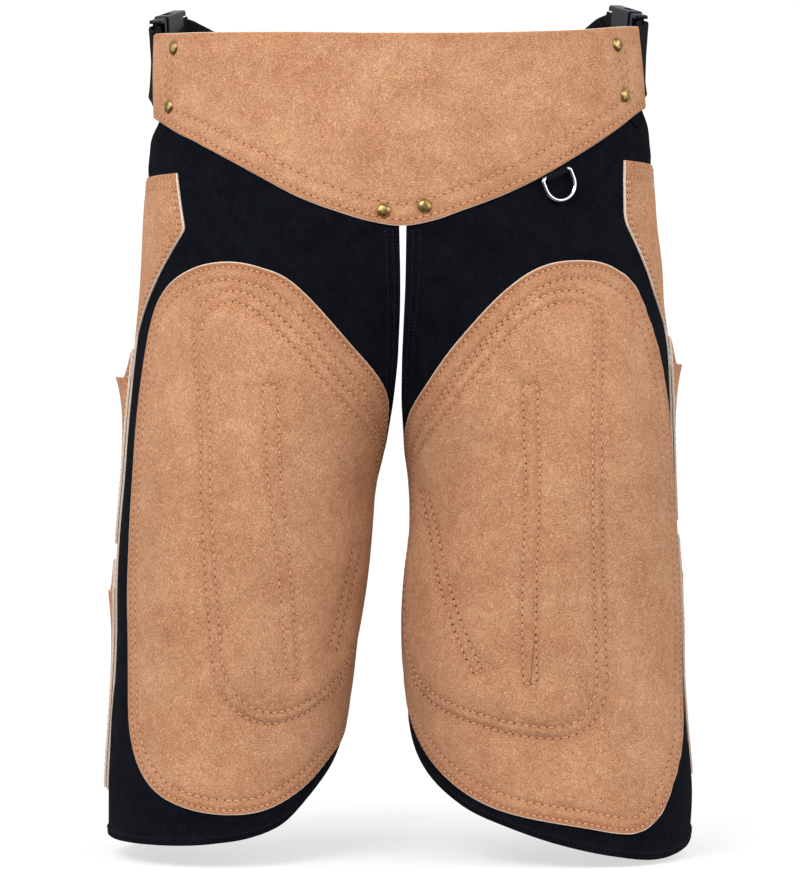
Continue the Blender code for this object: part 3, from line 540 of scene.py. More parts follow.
def inset(curve, distance):
    """A closed curve moved inwards in millimetres of cloth: by one size, or by sizes for its headings."""
    flat = curve * LEG_FLAT
    along = unit(np.roll(flat, -1, axis=0) - np.roll(flat, 1, axis=0))
    inward = np.stack([-along[:, 1], along[:, 0]], axis=1)
    middle = flat.mean(axis=0)
    if np.sum((middle - flat) * inward) < 0:
        inward = -inward
    if isinstance(distance, tuple):
        headings, sizes = distance
        heading = np.degrees(np.arctan2(-inward[:, 1], -inward[:, 0]))
        distance = np.interp(heading, headings, sizes)[:, None]
    return (flat + inward * distance) / LEG_FLAT


def resample(points, step, closed=False):
    """Points a step apart along a line in space."""
    points = np.asarray(points, float)
    if closed:
        points = np.concatenate([points, points[:1]])
    along = np.concatenate([[0], np.cumsum(np.linalg.norm(np.diff(points, axis=0), axis=1))])
    count = max(2, int(round(along[-1] / step)) + 1)
    at = np.linspace(0, along[-1], count)
    fine = np.stack([np.interp(at, along, points[:, k]) for k in range(points.shape[1])], axis=1)
    return fine[:-1] if closed else fine


def distances(places, lines):
    """How far each place lies from the nearest point of some lines, all in flat millimetres."""
    dots = np.concatenate([resample(line, 1.0) for line in lines])
    tree = KDTree(len(dots))
    for i, (x, y) in enumerate(dots):
        tree.insert((x, y, 0), i)
    tree.balance()
    return np.array([tree.find((x, y, 0))[2] for x, y in places])


def inside_of(places, outline):
    """Which places lie within a closed outline."""
    x, y = places[:, 0], places[:, 1]
    within = np.zeros(len(places), bool)
    for (ax, ay), (bx, by) in zip(outline, np.roll(outline, -1, axis=0)):
        crosses = (ay > y) != (by > y)
        at = ax + (y - ay) / (by - ay + 1e-12) * (bx - ax)
        within ^= crosses & (x < at)
    return within


def ripple(places, seed, size, height):
    """Gentle unevenness of cloth, from a few seeded waves."""
    draw = np.random.default_rng(seed)
    total = np.zeros(len(places))
    for _ in range(7):
        heading = draw.uniform(0, 2 * np.pi)
        length = size * draw.uniform(0.7, 1.8)
        shift = draw.uniform(0, 2 * np.pi)
        reach = places @ np.array([np.cos(heading), np.sin(heading)])
        total += np.sin(reach * 2 * np.pi / length + shift)
    return total / 7 ** 0.5 * height


# Materials


class Tree:
    """A node tree, with short ways to add and join nodes."""

    def __init__(self, owner):
        owner.use_nodes = True
        self.tree = owner.node_tree

    def put(self, socket, value):
        if isinstance(value, bpy.types.NodeSocket):
            self.tree.links.new(value, socket)
        else:
            socket.default_value = value

    def add(self, kind, inputs=None, **settings):
        node = self.tree.nodes.new(kind)
        for key, value in settings.items():
            setattr(node, key, value)
        for key, value in (inputs or {}).items():
            self.put(node.inputs[key], value)
        return node

    def spread(self, value, start, end, low, high):
        """A value moved from one range to another."""
        sockets = {"Value": value, "From Min": start, "From Max": end, "To Min": low, "To Max": high}
        return self.add("ShaderNodeMapRange", sockets).outputs[0]


class Nodes(Tree):
    """A material's node tree, round its one shader."""

    def __init__(self, name, color, roughness, **sockets):
        self.material = bpy.data.materials.new(name)
        super().__init__(self.material)
        self.shader = self.tree.nodes["Principled BSDF"]
        self.shader.inputs["Base Color"].default_value = (*color, 1)
        self.shader.inputs["Roughness"].default_value = roughness
        for socket, value in sockets.items():
            self.shader.inputs[socket.replace("_", " ")].default_value = value

    def join(self, value, socket):
        self.tree.links.new(value, self.shader.inputs[socket])

    def color(self, value, *stops):
        """Joins a ramp over a value to the base colour."""
        self.join(self.ramp(value, stops), "Base Color")

    def roughness(self, value, share, least):
        self.join(self.math("ADD", self.math("MULTIPLY", value, share), least), "Roughness")

    def place(self, stretch=(1, 1, 1), uv=False):
        """Object coordinates in metres, or a piece's own map in millimetres, stretched."""
        source = self.add("ShaderNodeTexCoord").outputs["UV" if uv else "Object"]
        return self.add("ShaderNodeMapping", {"Vector": source, "Scale": stretch}).outputs["Vector"]

    def noise(self, place, scale, detail=2.0, roughness=0.5, distortion=0.0):
        names = ("Vector", "Scale", "Detail", "Roughness", "Distortion")
        sockets = dict(zip(names, (place, scale, detail, roughness, distortion)))
        return self.add("ShaderNodeTexNoise", sockets).outputs["Fac"]

    def wave(self, place, scale, direction, distortion=0.0):
        sockets = {"Vector": place, "Scale": scale, "Distortion": distortion}
        return self.add("ShaderNodeTexWave", sockets, bands_direction=direction).outputs["Fac"]

    def math(self, kind, a, b=0.0, clamp=False):
        return self.add("ShaderNodeMath", {0: a, 1: b}, operation=kind, use_clamp=clamp).outputs[0]

    def blend(self, *parts):
        """The sum of values, each with its weight."""
        total = None
        for value, weight in parts:
            part = self.math("MULTIPLY", value, weight)
            total = part if total is None else self.math("ADD", total, part)
        return total

    def ramp(self, value, stops):
        node = self.add("ShaderNodeValToRGB", {"Fac": value})
        line = node.color_ramp
        while len(line.elements) < len(stops):
            line.elements.new(0.5)
        for element, (at, color) in zip(line.elements, stops):
            element.position = at
            element.color = (*color, 1)
        return node.outputs["Color"]

    def mix(self, factor, a, b):
        node = self.add("ShaderNodeMix", data_type="RGBA")
        for key, value in (("Factor", factor), ("A", a), ("B", b)):
            self.put(next(s for s in node.inputs if s.name == key and s.enabled), value)
        return next(s for s in node.outputs if s.enabled)

    def mark(self, name):
        return self.add("ShaderNodeAttribute", attribute_name=name).outputs["Fac"]

    def bump(self, layers):
        """Bump layers from deep to fine: value, strength and depth."""
        above = {}
        for value, strength, depth in layers:
            sockets = {"Height": value, "Strength": strength, "Distance": depth, **above}
            above = {"Normal": self.add("ShaderNodeBump", sockets).outputs["Normal"]}
        self.join(above["Normal"], "Normal")


SUEDE_TANS = [(0.37, 0.153, 0.071), (0.53, 0.250, 0.127), (0.65, 0.336, 0.182), (0.81, 0.480, 0.294)]
# A darker orange-brown near seams, edges and rivets; along the stitch rows it is partly painted shade in
# their grooves.
SUEDE_SEAM_TONE_AND_SHADE = (0.44, 0.170, 0.076)


def suede_material(name, shift, painted_shade):
    """Tan suede: short swirling fibres, a little mottling and darker seams, partly painted shade in their
    grooves.
    """
    # The whole colour is darkened by a factor: painted shade, which makes lit and shaded copies of one suede.
    tans = [np.array(color) * painted_shade for color in SUEDE_TANS]
    m = Nodes(name, tans[2], 0.95, Sheen_Weight=0.10, Sheen_Roughness=0.5, Specular_IOR_Level=0.12)
    m.shader.inputs["Sheen Tint"].default_value = (1.0, 0.82, 0.68, 1)
    moved = {0: m.place(), 1: (shift, shift * 0.7, 0.0)}
    place = m.add("ShaderNodeVectorMath", moved, operation="ADD").outputs[0]
    clouds = m.noise(place, 24, 3, 0.55)
    smudges = m.noise(place, 105, 3, 0.6, 0.6)
    swirl = m.noise(place, 520, 1, 0.5, 3.2)
    grain = m.noise(place, 1050, 2, 0.7)
    blend = m.blend((clouds, 0.13), (smudges, 0.11), (swirl, 0.46), (grain, 0.30))
    color = m.ramp(blend, list(zip((0.40, 0.47, 0.53, 0.61), tans)))
    # Near stitch rows, edges and rivets the colour mixes into a darker orange-brown; along the stitch rows
    # this is partly painted shade in their grooves.
    seam = m.math("MULTIPLY", m.mark("seam"), 0.85, clamp=True)
    m.join(m.mix(seam, color, (*np.array(SUEDE_SEAM_TONE_AND_SHADE) * painted_shade, 1)), "Base Color")
    m.bump([(smudges, 0.2, 0.0010), (swirl, 0.85, 0.0009), (grain, 0.7, 0.0005)])
    return m.material


def edge_material():
    """The pale cut edge of suede, with loose fibres."""
    m = Nodes("suede_cut_edge", (0.78, 0.60, 0.50), 0.95, Specular_IOR_Level=0.1)
    fibres = m.noise(m.place((1, 1, 2.2)), 700, 2, 0.7)
    m.color(fibres, (0.3, (0.60, 0.42, 0.32)), (0.6, (0.86, 0.73, 0.64)))
    m.bump([(fibres, 0.5, 0.0005)])
    return m.material


def canvas_material():
    """Heavy near-black canvas: crossing threads and faint dust."""
    dark, light = (0.0013, 0.0016, 0.0030), (0.0072, 0.0086, 0.0134)
    m = Nodes("canvas_navy", dark, 0.92, Sheen_Weight=0.004, Sheen_Roughness=0.6, Specular_IOR_Level=0.04)
    warp = m.noise(m.place((1, 0.12, 1), uv=True), 0.8, 2, 0.6)
    weft = m.noise(m.place((0.16, 1, 1), uv=True), 1.2, 1, 0.5)
    twill = m.wave(m.place((1, 0.8, 1), uv=True), 0.42, "DIAGONAL", 0.6)
    dust = m.noise(m.place(), 60, 4, 0.65)
    weave = m.blend((warp, 0.65), (weft, 0.35))
    m.color(m.blend((weave, 0.5), (twill, 0.2), (dust, 0.3)), (0.40, dark), (0.62, light))
    m.bump([(twill, 0.25, 0.0004), (weave, 0.6, 0.0006)])
    return m.material


def webbing_material():
    """Black webbing with ribs across its length and a herringbone of fine threads."""
    m = Nodes("webbing_black", (0.006, 0.006, 0.008), 0.8, Specular_IOR_Level=0.12)
    ribs = m.wave(m.place(uv=True), 0.20, "Y")
    herring = m.wave(m.place((1, 0.7, 1), uv=True), 0.35, "DIAGONAL", 1.5)
    fuzz = m.noise(m.place(uv=True), 1.2, 2, 0.6)
    m.color(m.blend((ribs, 0.5), (fuzz, 0.5)), (0.3, (0.002, 0.002, 0.0026)), (0.75, (0.010, 0.010, 0.013)))
    m.bump([(ribs, 0.7, 0.0006), (herring, 0.3, 0.0003), (fuzz, 0.3, 0.0002)])
    return m.material


def thread_material(name, dark, light):
    m = Nodes(name, light, 0.7, Specular_IOR_Level=0.25)
    ply = m.noise(m.place(), 1400, 1, 0.5)
    m.color(ply, (0.35, dark), (0.65, light))
    m.bump([(ply, 0.4, 0.0002)])
    return m.material


def plastic_material():
    """Black moulded plastic with a faint moulding texture and rubbed gloss."""
    m = Nodes("buckle_plastic", (0.005, 0.006, 0.008), 0.25, Specular_IOR_Level=0.11)
    grain = m.noise(m.place(), 1100, 2, 0.6)
    rubbed = m.noise(m.place(), 90, 3, 0.6)
    m.color(rubbed, (0.4, (0.0014, 0.0020, 0.0046)), (0.65, (0.0032, 0.0050, 0.0120)))
    m.roughness(rubbed, 0.16, 0.14)
    m.bump([(grain, 0.08, 0.0002)])
    return m.material


def brass_material():
    """Antique brass, darker where handling hasn't rubbed it."""
    m = Nodes("rivet_brass", (0.42, 0.29, 0.11), 0.36, Metallic=1.0)
    tarnish = m.noise(m.place(), 330, 4, 0.65)
    m.color(tarnish, (0.35, (0.16, 0.10, 0.035)), (0.55, (0.42, 0.29, 0.11)), (0.72, (0.62, 0.46, 0.20)))
    m.roughness(tarnish, 0.4, 0.16)
    m.bump([(tarnish, 0.15, 0.0003)])
    return m.material


def chrome_material():
    """Plated steel wire, with faint drawing marks."""
    m = Nodes("ring_chrome", (0.62, 0.62, 0.64), 0.10, Metallic=1.0)
    marks = m.noise(m.place((1, 1, 6)), 240, 2, 0.5)
    m.roughness(marks, 0.08, 0.05)
    m.color(marks, (0.3, (0.55, 0.55, 0.57)), (0.7, (0.66, 0.66, 0.68)))
    m.bump([(marks, 0.03, 0.0001)])
    return m.material


# Copies of one suede, darkened by painted shade: most on the knee patches, for the light falling off lower
# down, and a little on the waist panel and the side pieces.
SUEDE_PATCH = suede_material("suede_patch", 0.0, 0.935)
SUEDE_WAIST = suede_material("suede_waist", 0.37, 0.985)
SUEDE_SIDE = suede_material("suede_side", 0.71, 0.98)
CUT_EDGE = edge_material()
CANVAS_CLOTH = canvas_material()
WEB = webbing_material()
TAN_THREAD = thread_material("thread_tan", (0.52, 0.26, 0.14), (0.84, 0.54, 0.36))
DARK_THREAD = thread_material("thread_navy", (0.0014, 0.0016, 0.0028), (0.0042, 0.0050, 0.0082))
# Dark orange-brown painted shade for the inside of the needle holes.
PAINTED_HOLE_SHADE = thread_material("needle_hole", (0.062, 0.017, 0.006), (0.120, 0.038, 0.014))
PLASTIC = plastic_material()
BRASS = brass_material()
CHROME = chrome_material()


# Sewing

THREAD_RADIUS = 0.42 * MM
HOLE_RADIUS = 0.98 * MM
HOLE_SINK = 0.10 * MM
HOLE_CROWN = 0.20 * MM
SEARCH = 6 * MM
THREAD_PROFILE = [(-0.33, 0.35, -0.8), (-0.18, 1.0, 0.3), (0.18, 1.0, 0.3), (0.33, 0.35, -0.8)]
THREAD_SIDES = 6


def surface_of(obj):
    mesh = obj.data
    return BVHTree.FromPolygons([v.co for v in mesh.vertices], [p.vertices for p in mesh.polygons])


def add_stitch(points, faces, start, end, up):
    """A stitch between two holes: a short thread that dips into them at its ends."""
    first, rings = len(points), len(THREAD_PROFILE)
    step = end - start
    beside = np.cross(up, unit(step))
    for at, thick, lift in THREAD_PROFILE:
        centre = (start + end) / 2 + step * at + up * lift * THREAD_RADIUS * 0.7
        for a in circle(THREAD_SIDES):
            points.append(centre + (beside * np.cos(a) + up * np.sin(a)) * THREAD_RADIUS * thick)
    faces += tube_faces(THREAD_SIDES, rings, first)
    faces += [cap_face(THREAD_SIDES, first + ring * THREAD_SIDES) for ring in (0, rings - 1)]


def add_hole(points, faces, hole, up):
    """A needle hole's painted shade: a low dark cone set into the cloth."""
    first = len(points)
    beside = unit(np.cross(up, (0.31, 0.2, 0.93)))
    over = np.cross(up, beside)
    for a in circle(THREAD_SIDES):
        points.append(hole + (beside * np.cos(a) + over * np.sin(a)) * HOLE_RADIUS - up * HOLE_SINK)
    points.append(hole + up * HOLE_CROWN)
    tip = first + THREAD_SIDES
    faces += [(first + k, first + (k + 1) % THREAD_SIDES, tip) for k in range(THREAD_SIDES)]
    faces.append(cap_face(THREAD_SIDES, first))


def sewing(name, rows, onto, slot="suede"):
    """Stitches along rows on a piece's face: each row has points, directions out of the cloth and a pitch."""
    points, faces, slots = [], [], []
    surface = surface_of(onto)
    for line, out, pitch in rows:
        both = resample(np.concatenate([line, out], axis=1), pitch)
        holes, away = both[:, :3], unit(both[:, 3:])
        for i, (hole, up) in enumerate(zip(holes, away)):
            found = surface.ray_cast(Vector(hole + up * SEARCH), Vector(-up), 2 * SEARCH)[0]
            if found is not None:
                holes[i] = found
        for i in range(len(holes) - 1):
            add_stitch(points, faces, holes[i], holes[i + 1], unit(away[i] + away[i + 1]))
        slots += [0] * (len(faces) - len(slots))
        # On suede each hole also gets its dark cone of painted shade.
        if slot == "suede":
            for hole, up in zip(holes, away):
                add_hole(points, faces, hole, up)
            slots += [1] * (len(faces) - len(slots))
    obj = add_mesh(name, points, faces, [TAN_THREAD if slot == "suede" else DARK_THREAD, PAINTED_HOLE_SHADE], slots)
    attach(obj, "apron")
    return obj


def leg_row(side, places, outs, pitch):
    """A row of stitches on a leg through places of turn and height, at distances out of the canvas."""
    places = np.asarray(places, float)
    outs = np.broadcast_to(outs, len(places))
    line = leg_point(side, places[:, 0], places[:, 1] * MM, outs)
    above = leg_point(side, places[:, 0], places[:, 1] * MM, outs + MM)
    return line, above - line, pitch


def fine(points, step=2.0):
    """A line of turn and height with points close together."""
    return resample(np.asarray(points, float) * LEG_FLAT, step) / LEG_FLAT


# Knee patches

PATCH_FLOOR = CANVAS + LAID
# How far in the two border rows are sewn where the border heads up (90), outwards (0), down or inwards.
ROW_INSETS = {
    "left": table("heading first second", [
        (-180, 4, 15.5), (-90, 3.5, 11), (0, 5.7, 14.5), (90, 4, 13.8), (150, 4, 15.9), (180, 4, 15.5),
    ]),
    "right": table("heading first second", [
        (-180, 4, 15.5), (-90, 3.2, 12), (-45, 3.8, 13.5), (-15, 7, 19), (0, 7.6, 21), (15, 7.6, 21),
        (50, 5, 15.5), (90, 4, 13.8), (150, 4, 15.9), (180, 4, 15.5),
    ]),
}
RING_INSETS = np.concatenate([[0, 0.35, 0.9, 1.7, 2.6, 3.6], np.arange(5.0, 200.0, 2.1)])
PAD_HEIGHT = 2.3 * MM
GROOVE = 0.75 * MM
PALE_RINGS = 2
# Where the padding's edge begins inside its seam, and how gently it rises.
PAD_SLOPE_START = 2.5
PAD_SLOPE = 2.2


def patch_lines(side):
    """The border and the stitched rows of a patch, in turn and height."""
    border = closed_curve(PATCH_BORDER[side], 560)
    pad = closed_curve(PAD_LINE[side], 400)
    sizes = ROW_INSETS[side]
    rows = [inset(border, (sizes["heading"], sizes[name])) for name in ("first", "second")]
    rows = [looped(row) for row in (*rows, pad, inset(pad, PAD_ROW_GAP))]
    rows += [fine(looped(corners)) for corners in STRIPS[side]]
    return border, pad, rows


def patch_height(side, places, border, pad, rows):
    """How far the suede's face stands off the canvas, and how near each place is to a seam."""
    flat = places * LEG_FLAT
    edge = distances(flat, [looped(border) * LEG_FLAT])
    seam = distances(flat, [row * LEG_FLAT for row in rows])
    pad_flat = pad * LEG_FLAT
    to_pad = distances(flat, [looped(pad_flat)]) * np.where(inside_of(flat, pad_flat), 1, -1)
    raised = 1 / (1 + np.exp(-(to_pad - PAD_SLOPE_START) / PAD_SLOPE))
    out = SUEDE + PAD_HEIGHT * raised + (1 - bell(seam, 7.5)) * (0.6 + 0.7 * raised) * MM
    out = out - GROOVE * bell(seam, 1.7) - 0.9 * MM * rolled(edge, 1.9)
    out = out + ripple(flat, 11 if side == "left" else 12, 62, 0.22 * MM) * np.clip(edge / 14, 0, 1)
    return PATCH_FLOOR + out, bell(seam, 1.9) * 0.55 + 0.38 * bell(edge, 9)


def knee_patch(side):
    border, pad, rows = patch_lines(side)
    turn, top, low = PATCH_SPINE[side]
    spine = pairs(float(turn), np.clip(border[:, 1], low, top))
    reach = np.linalg.norm((border - spine) * LEG_FLAT, axis=1).mean()
    shares = 1 - RING_INSETS[RING_INSETS < reach - 2.0] / reach
    places = np.concatenate([spine + (border - spine) * share for share in shares])
    out, near = patch_height(side, places, border, pad, rows)
    inside, outside = (leg_point(side, places[:, 0], places[:, 1] * MM, v) for v in (PATCH_FLOOR, out))
    faces = ring_faces(len(border), len(shares))
    pale = np.arange(len(faces)) < PALE_RINGS * len(border)
    obj = wall(f"suede_patch_{side}", inside, outside, faces, [SUEDE_PATCH, CUT_EDGE], pale)
    seam_mark(obj, near)
    dress(obj)
    pitches = [BORDER_STITCH, PAD_STITCH, PAD_STITCH, PAD_STITCH] + [STRIP_STITCH] * len(STRIPS[side])
    sewn = [leg_row(side, fine(row), PATCH_FLOOR + SUEDE, pitch) for row, pitch in zip(rows, pitches)]
    threads = sewing(f"stitches_patch_{side}", sewn, obj)


# Canvas legs


def smooth_turn(edges, share, height):
    """The turn at a share of the way from a panel's inner edge to its outer edge."""
    inner = smooth(height, edges["height"], edges["inner"])
    outer = smooth(height, edges["height"], edges["outer"])
    return inner + (outer - inner) * share


def leg_top(side, turn):
    return np.interp(turn, LEG_TOP[side]["turn"], LEG_TOP[side]["height"]) * MM


def creases(side, turn, height):
    """The height of the canvas's soft creases at each place."""
    total = np.zeros(np.shape(turn))
    for a, z, b, w, width, rise in zip(*CREASES[side].values()):
        start, end = np.array([a * TURN_WIDTH, z]), np.array([b * TURN_WIDTH, w])
        here = np.stack([turn * TURN_WIDTH, height / MM], axis=-1) - start
        run = end - start
        share = np.clip(here @ run / (run @ run), 0, 1)
        gone = np.linalg.norm(here - share[..., None] * run, axis=-1)
        total += rise * MM * bell(gone, width) * (0.35 + 0.65 * np.sin(np.pi * (0.15 + 0.7 * share)))
    return total


def covered(side, turn, height):
    """Zero where a sewn-on piece holds the canvas flat, rising to one away from it."""
    flat = pairs(turn * TURN_WIDTH, height / MM)
    border = closed_curve(PATCH_BORDER[side], 240) * LEG_FLAT
    rows = HIP_PATCH[side]
    front, back = (pairs(rows[edge] * TURN_WIDTH, rows["height"]) for edge in ("front", "back"))
    free = np.ones(len(flat))
    for outline in (border, np.concatenate([front, back[::-1]])):
        gone = distances(flat, [looped(outline)])
        free *= np.where(inside_of(flat, outline), 0, np.clip(gone / 7, 0, 1))
    return free.reshape(turn.shape)


# How many damped steps settle the height of a column's top where the leg's top edge is steep.
TOP_STEPS = 14
# The hem band from its top to its bottom: shares of its width, and of the step in thickness there.
HEM_PROFILE = [(0, 0.3), (0.06, 1), (0.3, 1.1), (0.6, 1.05), (0.88, 1), (0.97, 0.75), (1, 0.2)]


def leg_cloth(side, columns=158, rows=152):
    """The canvas of a leg, with its thicker hem band and creases."""
    edges, hem = LEG_EDGES[side], LEG_HEM[side]
    share = np.linspace(0, 1, columns)
    share = np.concatenate([[0, 0.0016], share[1:-1], [0.9984, 1]])
    bottom = smooth(smooth_turn(edges, share, hem["height"].mean()), hem["turn"], hem["height"]) * MM
    band_top = bottom + HEM_BAND
    top = leg_top(side, smooth_turn(edges, share, edges["height"][0]))
    for _ in range(TOP_STEPS):
        top = (top + leg_top(side, smooth_turn(edges, share, top / MM))) / 2
    heights = top + (band_top + 0.7 * MM - top) * np.linspace(0, 1, rows)[:, None]
    down, steps = np.array(HEM_PROFILE).T[:, :, None]
    heights = np.concatenate([heights, band_top - HEM_BAND * down])
    thick = CANVAS + HEM_STEP * np.concatenate([np.zeros((rows, 1)), steps])
    turns = smooth_turn(edges, share, heights / MM)
    flat = pairs(turns * TURN_WIDTH, heights / MM)
    lift = creases(side, turns, heights)
    lift += ripple(flat, 3 if side == "left" else 4, 48, 0.16 * MM).reshape(turns.shape)
    lift *= covered(side, turns, heights)
    layers = [leg_point(side, turns, heights, lift + v) for v in (0, thick)]
    obj = grid_piece(f"canvas_leg_{side}", layers, CANVAS_CLOTH, "canvas")
    give_map(obj, np.concatenate([flat, flat + (500, 0)]))
    sheet(obj, layers[1], [leg_sewing(side, obj)], held="hung", rests_on=["suede_waist_panel"])


# How far in from a leg's turned edges its two rows are sewn.
EDGE_ROWS = (4.6, 9.6)


def leg_sewing(side, cloth):
    """The rows along a leg's turned edges and its hem."""
    edges, hem = LEG_EDGES[side], LEG_HEM[side]
    rows = []
    for gone in EDGE_ROWS:
        for edge, way, top, low, count in (("inner", 1, -116, -470, 160), ("outer", -1, -60, -570, 200)):
            heights = np.linspace(top, low, count)
            turns = smooth(heights, edges["height"], edges[edge]) + way * gone / TURN_WIDTH
            rows.append(leg_row(side, pairs(turns, heights), CANVAS + 0.05 * MM, CANVAS_STITCH))
    turns = np.linspace(hem["turn"][0] + 2, hem["turn"][-1] - 2, 200)
    heights = smooth(turns, hem["turn"], hem["height"]) + HEM_BAND / MM - 1.4
    rows.append(leg_row(side, pairs(turns, heights), CANVAS + HEM_STEP * 1.1, CANVAS_STITCH))
    return sewing(f"stitches_canvas_{side}", rows, cloth, "canvas")


def give_map(obj, places):
    """A piece's own flat map, from a place for each of its points, in millimetres."""
    layer = obj.data.uv_layers.new(name="cloth")
    corners = np.empty(len(obj.data.loops), np.int32)
    obj.data.loops.foreach_get("vertex_index", corners)
    layer.data.foreach_set("uv", np.asarray(places, np.float32)[corners].ravel())


# Side pieces: hip patches and pockets

HIP_FLOOR = CANVAS + LAID
HIP_FRONT_ROWS = (3.6, 7.2)
HIP_BACK_ROW = 3.6
HIP_BOTTOM_ROW = 3.2
HIP_TOP_ROWS = {"left": (3.0, 10.5), "right": (3.3, 12.7)}
POCKET_FLOOR = HIP_FLOOR + SUEDE + LAID
# How far a pocket's back edge stays in from the hip patch's, in degrees, and its side rows from its edges.
POCKET_BACK = 1.5
POCKET_SIDE_ROW = 3.4


def patch_edges(side, heights):
    rows = HIP_PATCH[side]
    return [np.interp(-heights, -rows["height"], rows[edge]) for edge in ("front", "back")]


def level_row(start, end, height, count):
    """A level row of places from one turn to another."""
    return pairs(np.linspace(start, end, count), height)


def hip_patch(side):
    """The side piece that backs the pockets, with its wedge at the hip."""
    top, bottom = HIP_PATCH[side]["height"][[0, -1]]
    heights = np.linspace(top, bottom, 200)
    front, back = patch_edges(side, heights)
    share = np.concatenate([[0, 0.006, 0.02], np.linspace(0.04, 0.96, 34), [0.98, 0.994, 1]])
    turns = front[:, None] + (back - front)[:, None] * share
    z = heights[:, None]
    edge = np.minimum(turns - front[:, None], back[:, None] - turns) * TURN_WIDTH
    edge = np.minimum(edge, np.minimum(top - z, z - bottom))
    seams = [pairs(front + gone / TURN_WIDTH, heights)[6:-4] for gone in HIP_FRONT_ROWS]
    seams.append(pairs(back - HIP_BACK_ROW / TURN_WIDTH, heights)[6:-4])
    for gone in HIP_TOP_ROWS[side]:
        start, end = patch_edges(side, top - gone)
        seams.append(level_row(start + 1.5, end - 1.5, top - gone, 60))
    seams.append(level_row(front[-1] + 2, back[-1] - 2, bottom + HIP_BOTTOM_ROW, 60))
    near = distances(pairs(turns, z) * LEG_FLAT, [seam * LEG_FLAT for seam in seams])
    near = near.reshape(turns.shape)
    out = suede_face(near, edge, (0.35, 6), (0.35, 1.6), (0.7, 1.4))
    layers = [leg_point(side, turns, z * MM, HIP_FLOOR + v) for v in (0, out)]
    obj = grid_piece(f"suede_hip_patch_{side}", layers, SUEDE_SIDE, "suede", sides=(1, 1), ends=(0, 0))
    seam_mark(obj, 0.5 * bell(near, 1.9) + 0.2 * bell(edge, 8))
    sewn = [leg_row(side, seam, HIP_FLOOR + SUEDE, HIP_STITCH) for seam in seams]
    threads = sewing(f"stitches_hip_patch_{side}", sewn, obj)
    sheet(obj, layers[1], [threads], held="stretched", rests_on=[f"canvas_leg_{side}"])


def mouth_drop(belly):
    share = np.clip(belly / MOUTH_CORNER, 0, 1)
    return share * share * (3 - 2 * share)


def pocket_slack(sizes, down):
    """How far the middle of a pocket stands off, at a share of the way down it."""
    return sizes["open"] * np.exp(-down / sizes["closes"]) * (1 - down) ** 0.5


def pocket(place, side):
    """A pocket sewn down both sides and along its bottom, whose mouth stands open."""
    sizes = POCKETS[place, side]
    corner, bottom = sizes["corner"], sizes["bottom"]
    share = np.concatenate([[0, 0.008, 0.025], np.linspace(0.05, 0.95, 40), [0.975, 0.992, 1]])
    belly = np.sin(np.pi * share)
    depth = np.concatenate([[0, 0.004, 0.012], np.linspace(0.025, 1, 72)])[:, None]
    top = corner + (sizes["mouth"] - corner) * mouth_drop(belly)
    heights = top + (bottom - top) * depth
    front, back = patch_edges(side, heights)
    turns = front + (back - POCKET_BACK - front) * share
    wavy = 0.35 * np.sin(3 * np.pi * share + 4 * depth) * belly * (1 - depth)
    outs = belly ** 1.2 * (pocket_slack(sizes, depth) + wavy) * MM
    seams = [
        pairs(turns[:, end] + way * POCKET_SIDE_ROW / TURN_WIDTH, heights[:, 0])[6:-2]
        for end, way in ((0, 1), (-1, -1))
    ]
    seams.append(level_row(turns[-1, 0] + 1.8, turns[-1, -1] - 1.8, bottom + HIP_BOTTOM_ROW, 50))
    near = distances(pairs(turns, heights) * LEG_FLAT, [seam * LEG_FLAT for seam in seams])
    near = near.reshape(turns.shape)
    edge = np.minimum(turns - turns[:, :1], turns[:, -1:] - turns) * TURN_WIDTH
    edge = np.minimum(edge, np.minimum(heights - bottom, depth * (corner - bottom)))
    face = suede_face(near, edge, (0, 6), (0.3, 1.6), (0.6, 1.4))
    layers = [leg_point(side, turns, heights * MM, POCKET_FLOOR + outs + v) for v in (0, face)]
    obj = grid_piece(f"suede_pocket_{place}_{side}", layers, SUEDE_SIDE, "suede", sides=(1, 1), ends=(1, 0))
    seam_mark(obj, 0.5 * bell(near, 1.9) + 0.15 * bell(edge, 8))
    sewn = []
    for seam in seams:
        down = np.clip((corner - seam[:, 1]) / (corner - bottom), 0, 1)
        front, back = patch_edges(side, seam[:, 1])
        at = np.clip((seam[:, 0] - front) / (back - POCKET_BACK - front), 0, 1)
        out = POCKET_FLOOR + SUEDE - 0.2 * MM + np.sin(np.pi * at) ** 1.2 * pocket_slack(sizes, down) * MM
        sewn.append(leg_row(side, seam, out, HIP_STITCH))
    threads = sewing(f"stitches_pocket_{place}_{side}", sewn, obj)
    sheet(obj, layers[1], [threads], held="stretched", rests_on=[f"suede_hip_patch_{side}"])


# Waist panel

PANEL_SIDE_ROWS = [
    [(-63.0, 21.5), (-64.2, -10.8)],
    [(-66.3, 21.0), (-67.2, -22.5)],
    [(58.9, 23.5), (60.9, -3.6)],
    [(62.4, 23.5), (64.3, -13.0)],
]
# How far from a rivet's middle the suede starts to rise again.
RIVET_DENT = 5.0
OUTER_ROW = 4.6
INNER_ROW = 16.2


def panel_lift(angle):
    return np.interp(np.abs(angle), PANEL_LIFT["angle"], PANEL_LIFT["lift"]) * MM


def lean(angle, share):
    """The angle round the body of a place on the waist panel; share runs from its top to its bottom."""
    left = angle < 0
    top, low = (np.where(left, PANEL_LEAN["left"][k], PANEL_LEAN["right"][k]) for k in (0, 1))
    end = np.where(left, -PANEL["angle"][0], PANEL["angle"][-1])
    weight = np.clip((np.abs(angle) - LEAN_START) / (end - LEAN_START), 0, 1)
    return angle + np.sign(angle) * weight * (top + (low - top) * share)


def panel_edges(angles):
    return [smooth(angles, PANEL["angle"], PANEL[edge]) for edge in ("top", "bottom")]


